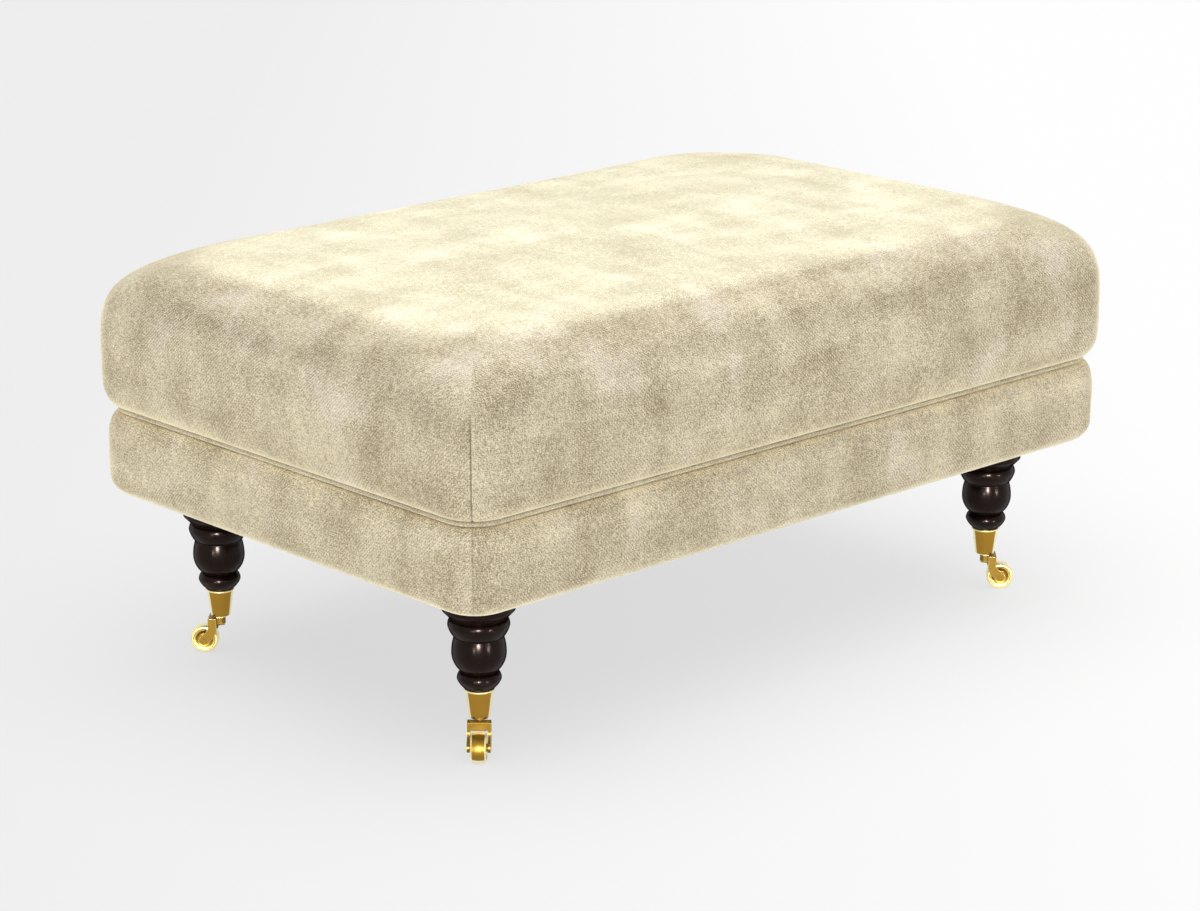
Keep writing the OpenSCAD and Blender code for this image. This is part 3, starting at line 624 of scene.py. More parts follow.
def grid_in_ring(ring, ring_start, inside_start):
    """A grid that fills a ring: its places in plan, and the number of each of its points."""
    wide, deep = len(LONG_PLACES) - 1, len(SHORT_PLACES) - 1
    count = len(ring)
    front = ring[:wide + 1]
    right = ring[wide:wide + deep + 1]
    back = ring[wide + deep:2 * wide + deep + 1][::-1]
    left = np.concatenate([ring[2 * wide + deep:], ring[:1]])[::-1]
    u = ((LONG_PLACES + 1) / 2)[:, None, None]
    v = ((SHORT_PLACES + 1) / 2)[None, :, None]
    patch = ((1 - v) * front[:, None] + v * back[:, None] + (1 - u) * left[None] + u * right[None]
             - (1 - u) * (1 - v) * front[0] - u * (1 - v) * front[-1]
             - (1 - u) * v * back[0] - u * v * back[-1])
    index = np.zeros((wide + 1, deep + 1), int)
    index[:, 0] = ring_start + np.arange(wide + 1)
    index[-1, :] = ring_start + wide + np.arange(deep + 1)
    index[:, -1] = ring_start + 2 * wide + deep - np.arange(wide + 1)
    index[0, :] = ring_start + (count - np.arange(deep + 1)) % count
    index[1:-1, 1:-1] = (inside_start + np.arange((wide - 1) * (deep - 1))).reshape(wide - 1, deep - 1)
    return patch, index


def ring_skin(name, levels, edge_inset, closed, crown=None):
    """A skin through levels of (inset, height, radius, mitred), each a ring of points.
    It closes on itself, or ends in a crown with this height over its plan and a flat base."""
    rings = [ring_points(inset, height, radius) for inset, height, radius, _ in levels]
    count = len(rings[0])
    down = np.concatenate([[0], np.cumsum([
        math.dist(a[:2], b[:2]) for a, b in zip(levels, levels[1:])])])
    wefts = [ring_weft(inset, radius, d, mitred, edge_inset)
             for (inset, _, radius, mitred), d in zip(levels, down)]
    points = np.concatenate(rings)
    faces, weft = [], []
    starts = np.cumsum([0] + [len(p) - 1 for p in SIDE_PLACES])
    turns = len(levels) if closed else len(levels) - 1
    for k in range(turns):
        n = (k + 1) % len(levels)
        for side in range(4):
            a, b = wefts[k][side], wefts[n][side]
            for c in range(len(a) - 1):
                i = starts[side] + c
                j = (i + 1) % count
                faces.append((k * count + i, n * count + i, n * count + j, k * count + j))
                weft += [a[c], b[c], b[c + 1], a[c + 1]]
    if crown:
        for level, height_at, upwards in ((0, crown, True), (len(levels) - 1, None, False)):
            patch, index = grid_in_ring(rings[level][:, :2], level * count, len(points))
            inside = patch[1:-1, 1:-1].reshape(-1, 2)
            heights = height_at(inside) if height_at else np.full(len(inside), levels[level][1])
            points = np.concatenate([points, np.column_stack([inside, heights])])
            for i in range(len(patch) - 1):
                for j in range(len(patch[0]) - 1):
                    corners = [(i, j), (i + 1, j), (i + 1, j + 1), (i, j + 1)][::1 if upwards else -1]
                    faces.append([index[c] for c in corners])
                    weft += [patch[c] * MM for c in corners]
    piece = new_piece(name, points, faces, CLOTH)
    layer = piece.data.uv_layers.new(name="weft")
    layer.data.foreach_set("uv", np.array(weft, np.float32).ravel())
    return piece


FILLING = {
    "quality": 4, "use_pressure": True, "tension_stiffness": 8, "compression_stiffness": 8,
    "shear_stiffness": 4, "bending_stiffness": 1.5, "vertex_group_mass": "held",
}
FILLING_STEPS = 20


def puff(piece, held, pressure, most):
    """Fills the piece out with a short cloth simulation.
    held tells which points stay, and most is the cap on movement in millimetres."""
    rest = np.zeros(len(piece.data.vertices) * 3)
    piece.data.vertices.foreach_get("co", rest)
    rest = rest.reshape(-1, 3)
    group = piece.vertex_groups.new(name="held")
    group.add([int(i) for i in np.flatnonzero(held(rest / MM))], 1.0, "REPLACE")
    cloth = piece.modifiers.new("filling", "CLOTH")
    for name, value in FILLING.items():
        setattr(cloth.settings, name, value)
    cloth.settings.uniform_pressure_force = pressure
    cloth.settings.effector_weights.gravity = 0
    cloth.collision_settings.use_collision = False
    for step in range(1, FILLING_STEPS + 1):
        bpy.context.scene.frame_set(step)
    filled = piece.evaluated_get(bpy.context.evaluated_depsgraph_get())
    moved = np.zeros(len(rest) * 3)
    filled.to_mesh().vertices.foreach_get("co", moved)
    filled.to_mesh_clear()
    bpy.context.scene.frame_set(1)
    piece.modifiers.clear()
    piece.vertex_groups.clear()
    move = moved.reshape(-1, 3) - rest
    length = np.linalg.norm(move, axis=1)
    cap = most * MM
    share = cap * np.tanh(length / cap) / np.maximum(length, 1e-9)
    print("filled out", piece.name, "by", round(float(length.mean() / MM), 2), "mm on average,",
          round(float(length.max() / MM), 2), "mm at most before the cap")
    move_points(piece, (rest + move * share[:, None]) / MM)


def move_points(piece, points):
    piece.data.vertices.foreach_set("co", (points * MM).astype(np.float32).ravel())
    piece.data.update()


def upholstered(piece, held, filling, waves, free_at, seam_depth, seam_at):
    """Fills a skin out, makes it uneven where it is free, and draws its corner seams in.
    filling is (pressure, cap), and waves are (size, seed, height)."""
    puff(piece, held, *filling)
    fine = piece.modifiers.new("fine", "SUBSURF")
    fine.levels = 1
    fine.render_levels = 1
    apply_modifiers(piece)
    points = np.array([v.co for v in piece.data.vertices]) / MM
    normals = np.array([v.normal for v in piece.data.vertices])
    swell = sum(soft_waves(points, size, seed) * height for size, seed, height in waves)
    points += normals * (swell * free_at(points))[:, None]
    move_points(piece, draw_seams(points, normals, seam_depth, seam_at(points)))
    smooth(piece)


def soft_waves(points, size, seed):
    """Slow, uneven waves from -1 to 1 over the points. size is their length in millimetres."""
    shift = Vector((seed * 7.3, seed * 3.1, seed * 5.7))
    return np.array([noise.noise(Vector(p) / size + shift) for p in points])


def step_between(value, low, high):
    t = np.clip((value - low) / (high - low), 0, 1)
    return t * t * (3 - 2 * t)


def seam_distance(points):
    """How far a point is from the upright plane of its nearest corner seam, with the end sides positive."""
    return (np.abs(points[:, 0]) - np.abs(points[:, 1]) - SEAM_OFFSET) / math.sqrt(2)


def draw_seams(points, normals, depth, strength):
    """Pulls the corner seams in and lays their allowance under the cloth of the end sides."""
    d = seam_distance(points)
    groove = -depth * np.exp(-(d / 1.2) ** 2)
    fold = 0.45 * np.exp(-((d - 3.2) / 2.2) ** 2) + 0.22 * np.exp(-((d + 2.8) / 2.0) ** 2)
    return points + normals * ((groove + fold) * strength)[:, None]


# Seat pad

def pad_levels(layer, top_layer):
    """Levels from the top's edge to the base of the pad.
    They lie inside the cover's face by layer, and at the top by top_layer."""
    levels = []
    shoulder_steps = 30
    for i in range(shoulder_steps, -1, -1):
        s = i / shoulder_steps
        angle = math.radians(90 * s)
        across = max(math.cos(angle), 0) ** (2 / SHOULDER_POWER)
        up = math.sin(angle) ** (2 / SHOULDER_POWER)
        levels.append([SHOULDER_REACH * (1 - across) + layer * across,
                       SHOULDER_Z + (SHOULDER_H - top_layer) * up,
                       CORNER_R + (TOP_CORNER_R - CORNER_R) * s - layer * across])
    curve = np.array(levels)
    run = np.concatenate([[0], np.cumsum(np.hypot(*np.diff(curve[:, :2], axis=0).T))])
    even = np.linspace(0, run[-1], 27)
    levels = [[np.interp(e, run, curve[:, k]) for k in range(3)] for e in even]
    for z in np.linspace(SHOULDER_Z, ROLL_TOP_Z, 7)[1:-1]:
        levels.append([layer, z, CORNER_R - layer])
    for i in range(9, -1, -1):
        a = math.radians(90 * i / 9)
        inset = layer + (DRAW_IN - layer) * (1 - math.sin(a))
        levels.append([inset, ROLL_TOP_Z - (ROLL_H - layer) * math.cos(a), CORNER_R - inset])
    return levels


def crown_height(xy):
    """Height of the top at points of its plan."""
    q = np.abs(xy) - (np.array([SEAT_W, SEAT_D]) / 2 - SHOULDER_REACH - TOP_CORNER_R)
    inside = TOP_CORNER_R - np.hypot(*np.maximum(q, 0).T) - np.minimum(q.max(axis=1), 0)
    s = np.clip(inside / CROWN_REACH, 0, 1)
    return PAD_TOP_Z + CROWN_H * s * (2 - s)


def make_pad():
    layer, top_layer = -0.3, 3.6
    levels = []
    down = 0
    before = None
    for inset, z, radius in pad_levels(layer, top_layer):
        if before:
            down += math.dist(before, (inset, z))
        before = (inset, z)
        levels.append((inset, z, radius, float(step_between(down, 20, 170))))
    for inset, z in ((23.6, PAD_Z), (23.6, TAIL_Z), (24.8, TAIL_Z), (24.9, PAD_Z - 1.2), (25.4, PAD_Z - 1.8)):
        levels.append((inset, z, CORNER_R - inset, 1.0))
    pad = ring_skin("seat_pad", levels, SHOULDER_REACH, False, lambda xy: crown_height(xy) - top_layer)

    def held(p):
        on_seam = (np.abs(seam_distance(p)) < 0.4) & (p[:, 2] < 385)
        return (p[:, 2] < PAD_Z + 6) | on_seam

    def free_at(p):
        calm = 1 - np.exp(-(seam_distance(p) / 12) ** 2) * step_between(p[:, 2], 420, 380)
        return step_between(p[:, 2], PAD_Z + 1, PAD_Z + 25) * calm

    def seam_at(p):
        return step_between(-p[:, 2], -418, -372) * step_between(p[:, 2], PAD_Z - 1, PAD_Z + 4)

    upholstered(pad, held, (0.7, 3.0), ((95.0, 1, 0.8), (38.0, 2, 0.25)), free_at, 1.5, seam_at)
    fit_on(pad, "stool", "cover_cloth", "seat_cover", "seat_wadding", "seat_foam")


# Border

def border_face(depth):
    """The border's outer face, from the top of its roll to its turned-under edge, as (inset, height)."""
    middle = BORDER_SET_IN + BORDER_EDGE_R
    roll_in, roll_z = 17.0, BORDER_TOP_Z - BORDER_ROLL_H
    face = arc(roll_in, roll_z, BORDER_SET_IN - roll_in + depth, BORDER_ROLL_H - depth, 90, 0, 8)
    straight = np.linspace(roll_z, UNDER_Z + BORDER_EDGE_R, 6)[1:-1]
    face += [(BORDER_SET_IN + depth, z) for z in straight]
    face += arc(middle, UNDER_Z + BORDER_EDGE_R, -(BORDER_EDGE_R - depth), -(BORDER_EDGE_R - depth), 0, 90, 8)
    return face


def make_border():
    depth = 0.8
    section = [(22.0, TAIL_Z), (22.0, 276.0), (21.8, BORDER_TOP_Z)] + border_face(depth)
    section += [(38.0, UNDER_Z + depth - 0.3), (47.0, UNDER_Z + 0.2), (47.0, UNDER_Z + 1.2)]
    section += [(26.0, UNDER_Z + 1.25), (24.8, UNDER_Z + 4.0), (24.8, 225.0), (24.8, TAIL_Z - 0.2)]
    section += [(18.9, TAIL_Z - 0.2), (18.9, BORDER_TOP_Z - 2.2), (20.8, BORDER_TOP_Z - 2.0), (20.8, TAIL_Z)]
    levels = [(inset, z, CORNER_R - inset, 1.0) for inset, z in section]
    # The band's map starts far from the pad's, so that the two don't show the same patches
    map_shift = 330
    band = ring_skin("border_band", levels, SHOULDER_REACH - map_shift, True)

    def held(p):
        inset = np.maximum(np.abs(p[:, 0]) - SEAT_W / 2, np.abs(p[:, 1]) - SEAT_D / 2) * -1
        hidden = (inset > 20) & (np.abs(p[:, 0]) < 440) | (p[:, 2] > 281) | (p[:, 2] < UNDER_Z + 4)
        return hidden | (np.abs(seam_distance(p)) < 0.4)

    def free_at(p):
        return step_between(p[:, 2], UNDER_Z + 2, UNDER_Z + 22) * step_between(-p[:, 2], -282, -262)

    def seam_at(p):
        return step_between(p[:, 2], UNDER_Z, UNDER_Z + 8) * 0.55

    upholstered(band, held, (1.5, 1.2), ((80.0, 3, 0.5), (30.0, 4, 0.18)), free_at, 0.7, seam_at)
    fit_on(band, "stool", "cover_cloth", "border_cover", "border_padding")


# Geometry Nodes

def geometry_group(name, *sizes):
    """A node group with a geometry in and out, and with named sizes in metres."""
    group = bpy.data.node_groups.new(name, "GeometryNodeTree")
    group.interface.new_socket("Geometry", in_out="INPUT", socket_type="NodeSocketGeometry")
    for size in sizes:
        group.interface.new_socket(size, in_out="INPUT", socket_type="NodeSocketFloat")
    group.interface.new_socket("Geometry", in_out="OUTPUT", socket_type="NodeSocketGeometry")
    t = Tree(group)
    way_in = group.nodes.new("NodeGroupInput")
    return group, t, {s.name: Wire(t, s) for s in way_in.outputs if s.name}


def grow(name, path, group, material, sizes):
    """Runs a node group on a path, and keeps what it makes as a smooth closed piece."""
    modifier = path.modifiers.new(group.name, "NODES")
    modifier.node_group = group
    for item in group.interface.items_tree:
        if item.in_out == "INPUT" and item.name in sizes:
            modifier[item.identifier] = sizes[item.name] * MM
    made = evaluated_mesh(path)
    made.name = name
    made.materials.clear()
    made.materials.append(material)
    bpy.data.objects.remove(path)
    grown = placed(name, made)
    outwards(grown)
    grown.data.shade_smooth()
    return grown


def loop_path(inset, height):
    """A closed path round the stool, starting in the middle of the back."""
    radius = CORNER_R - inset
    x, y = SEAT_W / 2 - inset - radius, SEAT_D / 2 - inset - radius
    points = [(0, y + radius, height)]
    for cx, cy, start in ((-x, y, 90), (-x, -y, 180), (x, -y, 270), (x, y, 0)):
        points += [(px, py, height) for px, py in arc(cx, cy, radius, radius, start, start + 90, 24)]
    count = len(points)
    mesh = bpy.data.meshes.new("path")
    mesh.from_pydata((np.array(points) * MM).tolist(), [(i, (i + 1) % count) for i in range(count)], [])
    return placed("path", mesh)


def with_place(t, curve, name):
    """The curve with each point's way along it kept under a name, and that way."""
    way = t.add("GeometryNodeSplineParameter", out=1)
    keeper = t.add("GeometryNodeCaptureAttribute", {0: curve}).socket.node
    keeper.capture_items.new("FLOAT", name)
    t.tree.links.new(way.socket, keeper.inputs[1])
    return Wire(t, keeper.outputs[0]), Wire(t, keeper.outputs[1])


def piping_group():
    """Sweeps a covered cord and its flange along a path."""
    group, t, size = geometry_group(
        "piping", "Cord Radius", "Step", "Flange Height", "Flange Thickness", "Flange Offset")
    path = t.add("GeometryNodeMeshToCurve", {0: size["Geometry"]})
    path = t.add("GeometryNodeResampleCurve", {"Curve": path, "Length": size["Step"]}, mode="LENGTH")
    path, along = with_place(t, path, "along")
    circle = t.add("GeometryNodeCurvePrimitiveCircle", {"Resolution": 20, "Radius": size["Cord Radius"]})
    circle, around = with_place(t, circle, "around")
    strip = t.add("GeometryNodeCurvePrimitiveQuadrilateral",
                  {0: size["Flange Thickness"], 1: size["Flange Height"]})
    shift = t.add("ShaderNodeCombineXYZ", {0: size["Flange Offset"] * -1, 1: size["Flange Height"] * 0.5})
    strip = t.add("GeometryNodeSetPosition", {"Geometry": strip, "Offset": shift})
    both = t.add("GeometryNodeJoinGeometry")
    for section in (circle, strip):
        swept = t.add("GeometryNodeCurveToMesh", {0: path, 1: section})
        t.tree.links.new(swept.socket, both.socket.node.inputs[0])
    weft = t.add("ShaderNodeCombineXYZ", {0: along, 1: around})
    both = t.add("GeometryNodeStoreNamedAttribute", {0: both, "Name": "weft", "Value": weft},
                 data_type="FLOAT2", domain="CORNER")
    t.add("NodeGroupOutput", {0: both})
    return group


def make_piping():
    piping = grow("seat_piping_cord", loop_path(PIPING_INSET, PIPING_Z), piping_group(), PIPING_CLOTH, {
        "Cord Radius": PIPING_R, "Step": 4.0, "Flange Height": 18.0, "Flange Thickness": CLOTH_T,
        "Flange Offset": 4.3})
    fit_on(piping, "stool", "cover_cloth", "seat_piping")


def staple_group():
    """Sets a wire staple at even steps along a path, each turned a little off it."""
    group, t, size = geometry_group("staples", "Spacing", "Crown Length", "Wire Radius")
    path = t.add("GeometryNodeMeshToCurve", {0: size["Geometry"]})
    places = t.add("GeometryNodeCurveToPoints", {"Curve": path, "Length": size["Spacing"]}, mode="LENGTH")
    line = t.add("GeometryNodeCurvePrimitiveLine", {
        end: t.add("ShaderNodeCombineXYZ", {2: size["Crown Length"] * share})
        for end, share in (("Start", -0.5), ("End", 0.5))})
    line = t.add("GeometryNodeResampleCurve", {"Curve": line, "Count": 7})
    wire = t.add("GeometryNodeCurvePrimitiveCircle", {"Resolution": 8, "Radius": size["Wire Radius"]})
    crown = t.add("GeometryNodeCurveToMesh", {0: line, 1: wire, "Fill Caps": True})
    skew = t.add("FunctionNodeRandomValue", {0: (-0.12, 0.0, 0.0), 1: (0.12, 0.0, 0.0), "Seed": 5},
                 data_type="FLOAT_VECTOR")
    turned = t.add("FunctionNodeRotateRotation", {0: places.other("Rotation"), 1: skew},
                   rotation_space="LOCAL")
    set_out = t.add("GeometryNodeInstanceOnPoints", {0: places, "Instance": crown, "Rotation": turned})
    t.add("NodeGroupOutput", {0: t.add("GeometryNodeRealizeInstances", {0: set_out})})
    return group


# Turned legs

def bead_underside(cx, cy, rx, ry, fullness, steps=20):
    """A bead's underside, full at its widest and straighter below."""
    angles = [math.radians(90 * i / steps) for i in range(steps + 1)]
    power = 2 / fullness
    return [(cx + rx * max(math.cos(a), 0) ** power, cy - ry * math.sin(a) ** power) for a in angles]


def eased(outline, corner, reach):
    """The outline with one corner rounded over this reach to both sides."""
    run = np.concatenate([[0], np.cumsum(np.hypot(*np.diff(np.array(outline), axis=0).T))])
    middle = run[min(range(len(outline)), key=lambda i: math.dist(outline[i], corner))]
    before, after = [
        tuple(np.interp(middle + d, run, [p[k] for p in outline]) for k in (0, 1)) for d in (-reach, reach)]
    bend = [before] + bezier(before, corner, corner, after, 8)
    return ([p for p, r in zip(outline, run) if r < middle - reach] + bend
            + [p for p, r in zip(outline, run) if r > middle + reach])


def leg_outline():
    """The leg from the foot of its peg to its top, as (radius, height)."""
    def bulb_side(height, drop, end):
        """Arc of the bulb from its fullest point to where it is lower by drop."""
        r = (height * height + drop * drop) / (2 * drop)
        swing = math.degrees(math.asin(height / r))
        return arc(BULB_R - r, BULB_Z, r, r, *((swing, 0, 16) if end == "top" else (0, -swing, 20)))

    top_r, slope_z = 38.5, 162.5
    outline = [(0, LEG_TOP_Z), (top_r - 0.6, LEG_TOP_Z), (top_r, LEG_TOP_Z - 0.6), (top_r, slope_z)]
    outline += arc(COLLAR_R, BEAD_Z, 3.6, 7.4, 90, 0, 16) + bead_underside(NECK_R, BEAD_Z, 6.6, 12.5, 1.3)
    outline += bulb_side(17.5, BULB_R - NECK_R, "top") + bulb_side(20.9, BULB_R - ANKLE_R, "foot")
    outline += arc(ANKLE_R, FOOT_BEAD_Z, 5.2, 7.6, 90, 0, 16)
    outline += bead_underside(14.2, FOOT_BEAD_Z, 9.2, 11.3, 1.35)
    notches = ((COLLAR_R, BEAD_Z + 7.4), (NECK_R, BEAD_Z - 12.5), (ANKLE_R, FOOT_BEAD_Z + 7.6))
    outline = eased(outline, (top_r, slope_z), 1.2)
    for notch in notches:
        outline = eased(outline, notch, 1.5)
    return (outline + [(14.1, 75.5), (9.9, 48.9), (0, 48.9)])[::-1]


def make_legs():
    pattern = lathe("leg_pattern", leg_outline(), 112, LACQUER, sharp_over=28)
    for name, (sx, sy, heading) in CORNERS.items():
        turn = Matrix.Rotation(math.radians(heading + 11 * sx), 4, "Z")
        place = Matrix.Translation((sx * LEG_X * MM, sy * LEG_Y * MM, 0))
        fit_on(copy_to(pattern, f"turned_leg_{name}", place @ turn), "stool", "dark_lacquer", f"leg_{name}")
    bpy.data.objects.remove(pattern)


# Brass castors, made in place with x along the trail, y across and z up

CUP_Z = 43.5
CUP_FOOT_R = 11.2
CUP_SLOPE = (15.5 - CUP_FOOT_R) / 32.0
LIP_Z = 75.5
PIN_R = 3.0
HORN_TOP_Z = 41.5
BRIDGE_Z = 32.2
GAP_HALF = 9.3
HORN_HALF = 12.6
ARM_BACK = 4.1
ARM_FRONT = 14.0
END_R = 5.4
BOSS_R = 5.2
BOSS_H = 8.3


def make_cup():
    outline = [(PIN_R + 0.1, CUP_Z), (CUP_FOOT_R - 1.1, CUP_Z)]
    outline += arc(CUP_FOOT_R - 0.9, CUP_Z + 0.9, 0.9, 0.9, -90, -10, 5)
    outline += [(CUP_FOOT_R + CUP_SLOPE * h, CUP_Z + h) for h in (1.8, 8.0, 16.0, 24.0, 29.2)]
    outline += [(15.15, LIP_Z - 2.3), (15.2, LIP_Z - 1.9)] + arc(15.35, LIP_Z - 0.95, 0.95, 0.95, -75, 90, 9)
    outline += [(14.5, LIP_Z), (14.2, LIP_Z - 0.3), (9.7, CUP_Z + 3.0), (PIN_R + 0.1, CUP_Z + 3.0)]

    # The cup's foot ring and lip take the painted edge highlight.
    def bands(r1, z1, r2, z2):
        low, high = min(z1, z2), max(z1, z2)
        return int((high < CUP_Z + 1.0 and min(r1, r2) > 9.4) or low > LIP_Z - 2.4)

    return lathe("cup", outline, 72, BRASS, BRASS_EDGE_HIGHLIGHT, sharp_over=30, closed=True, bands=bands)


def cheek_outline(steps=16):
    """Side outline of the horn, clockwise from the top of its back edge: front, round end and back."""
    def on_end(angle):
        a = math.radians(angle)
        return np.array((TRAIL + END_R * math.cos(a), AXLE_Z + END_R * math.sin(a)))

    hand_at, heel_at = 60, -138
    hand, heel = on_end(hand_at), on_end(heel_at)
    brow = np.array((ARM_FRONT - 0.6, HORN_TOP_Z - 10.4))
    wrist = np.array((ARM_BACK, BRIDGE_Z - 3.7))
    shin = (ARM_FRONT - 0.4, HORN_TOP_Z - 0.5)
    front = arc(shin[0] - 0.5, shin[1], 0.5, 0.5, 90, 0, 5)
    front += [tuple(p) for p in np.linspace(shin, brow, 12)[1:]]
    front += bezier(brow, brow + (-0.15, -3.6), hand + (-3.2, 2.6), hand, steps)
    end = arc(TRAIL, AXLE_Z, END_R, END_R, hand_at, heel_at, 24)
    back = bezier(heel, heel + (-3.9, 4.4), wrist + (0.3, -9), wrist, steps)
    return front, end, back


def make_horn():
    """One solid: the bridge is the upper part of the outline at full width, and the cheeks are the rest."""
    front, end, back = cheek_outline()
    upper = [(ARM_BACK, HORN_TOP_Z)] + [p for p in front if p[1] > BRIDGE_Z + 0.05]
    lower = [p for p in front if p[1] < BRIDGE_Z - 0.05] + end + back
    x_front = np.interp(BRIDGE_Z, [lower[0][1], upper[-1][1]], [lower[0][0], upper[-1][0]])
    loop = upper + [(float(x_front), BRIDGE_Z)] + lower + [(ARM_BACK, BRIDGE_Z)]
    n = len(loop)
    points = [(x, y, z) for y in (-HORN_HALF, -GAP_HALF, GAP_HALF, HORN_HALF) for x, z in loop]
    # Each y has a row of n points. From a to b they lie round the gap, and between b and a round the bridge
    a, b = len(upper), n - 1
    faces = [list(range(n)), [3 * n + i for i in reversed(range(n))]]
    faces += [[n + i for i in reversed(range(a, n))], [2 * n + i for i in range(a, n)]]
    faces.append([n + a, n + b, 2 * n + b, 2 * n + a])
    for i in range(n):
        j = (i + 1) % n
        if a <= i < b:
            faces += [[row + i, row + j, row + n + j, row + n + i] for row in (0, 2 * n)]
        else:
            inner_j = [n + j, 2 * n + j] if j in (a, b) else []
            inner_i = [2 * n + i, n + i] if i in (a, b) else []
            faces.append([i, j] + inner_j + [3 * n + j, 3 * n + i] + inner_i)
    # Its rounded edges, and the knuckle's, take the painted edge highlight.
    horn = new_piece("horn_pattern", points, faces, HORN_BRASS, BRASS_EDGE_HIGHLIGHT)
    outwards(horn)
    horn = softened(horn, 0.5, 3, 32)

    round_back = np.linspace(math.pi / 2, 3 * math.pi / 2, 25)
    boss = [(BOSS_R * math.cos(a), BOSS_R * math.sin(a)) for a in round_back]
    boss +=[(ARM_BACK + 1, -BOSS_R), (ARM_BACK + 1, BOSS_R)]
    m = len(boss)
    low, high = HORN_TOP_Z - BOSS_H, HORN_TOP_Z
    sides = [[i, (i + 1) % m, m + (i + 1) % m, m + i] for i in range(m)]
    knuckle = new_piece(
        "knuckle", [(x, y, z) for z in (low, high) for x, y in boss],
        [list(range(m))[::-1], [m + i for i in range(m)]] + sides, BRASS, BRASS_EDGE_HIGHLIGHT)
    outwards(knuckle)
    knuckle = softened(knuckle, 0.6, 2, 40)
    bore_r = PIN_R + 0.05
    bore = [(0, low - 2), (bore_r, low - 2), (bore_r, high + 2), (0, high + 2)]
    cut_away(knuckle, lathe("bore", bore, 40, BRASS))
    return joined("horn", [horn, knuckle])


def flipped(half):
    """The other half of an outline, from its half above zero."""
    return [(x, -y) for x, y in reversed(half)]


def laid_across(piece):
    """Turns a piece's upright axis to lie across the castor."""
    piece.data.transform(Matrix.Rotation(math.pi / 2, 4, "X"))
    return piece


def make_wheel():
    half, r = 8.2, 15.4
    side = [(2.06, 9.1), (3.7, 9.1)] + arc(3.9, 8.4, 0.7, 0.7, 90, 0, 4)
    side += bezier((4.8, 6.9), (5.0, 5.6), (6.4, 5.5), (7.6, 5.9), 8)
    side += bezier((9.4, 6.5), (10.4, 6.9), (11.0, 7.6), (11.9, 7.5), 6)
    side += [(12.3, 7.1), (12.6, 7.3)] + arc(13.3, 7.5, 0.7, 0.7, 170, 90, 4)
    side += arc(r - 2.6, half - 2.6, 2.6, 2.6, 88, 0, 12)
    crown = [(r + 0.6 * (1 - (y / 5.6) ** 2), y) for y in np.linspace(5.0, -5.0, 15)]
    outline = side + crown + flipped(side)

    # The rings on the wheel's sides take the painted edge highlight.
    def bands(r1, y1, r2, y2):
        mid_r, mid_y = (r1 + r2) / 2, abs(y1 + y2) / 2
        return int((12.4 < mid_r < 15.2 or 9.4 < mid_r < 11.3) and mid_y > 5.8)

    return laid_across(lathe(
        "wheel_pattern", outline, 80, WHEEL_BRASS, BRASS_EDGE_HIGHLIGHT, sharp_over=32, closed=True, bands=bands))


def make_axle():
    half = [(0, HORN_HALF + 0.3), (2.3, HORN_HALF + 0.3), (2.5, HORN_HALF + 0.1), (2.5, HORN_HALF)]
    half += [(2.0, HORN_HALF - 0.1), (2.0, 4.0)]
    return laid_across(lathe("axle_pattern", half + flipped(half), 40, HORN_BRASS, sharp_over=35))


def make_pin():
    head = CUP_Z + 3.1
    outline = [(0, 31.3)] + arc(0, 32.1, 5.0, 0.8, -80, 0, 6) + [(5.0, 33.1), (PIN_R, 33.1), (PIN_R, head)]
    outline += [(5.0, head), (5.0, head + 1.5), (4.5, head + 2.0), (0, head + 2.0)]
    return lathe("pin_pattern", outline, 48, BRASS, BRASS_EDGE_HIGHLIGHT, sharp_over=35)


def make_washer():
    low, high, bore_r = HORN_TOP_Z + 0.1, HORN_TOP_Z + 1.9, PIN_R + 0.1
    outline = [(bore_r, low)] + arc(5.1, low + 0.5, 0.5, 0.5, -90, 0, 4)
    outline += arc(5.1, high - 0.5, 0.5, 0.5, 0, 90, 4) + [(bore_r, high)]
    # The washer is all painted edge highlight.
    return lathe("washer_pattern", outline, 48, BRASS_EDGE_HIGHLIGHT, sharp_over=40, closed=True)


def make_cup_screw():
    """A slotted countersunk screw, made along z with its head up."""
    outline = [(0, -9.0), (1.2, -7.5), (1.2, -1.1), (2.3, 0.0)] + arc(0, 0, 2.3, 0.35, 0, 80, 6) + [(0, 0.35)]
    head = lathe("cup_screw_pattern", outline, 32, BRASS)
    slot_box = [(x, y, z) for x in (-3, 3) for y in (-0.25, 0.25) for z in (-0.55, 2)]
    sides = [(0, 1, 3, 2), (4, 6, 7, 5), (0, 4, 5, 1), (2, 3, 7, 6), (0, 2, 6, 4), (1, 5, 7, 3)]
    cutter = new_piece("slot", slot_box, sides, BRASS)
    outwards(cutter)
    cut_away(head, cutter)
    smooth(head, 30)
    return head


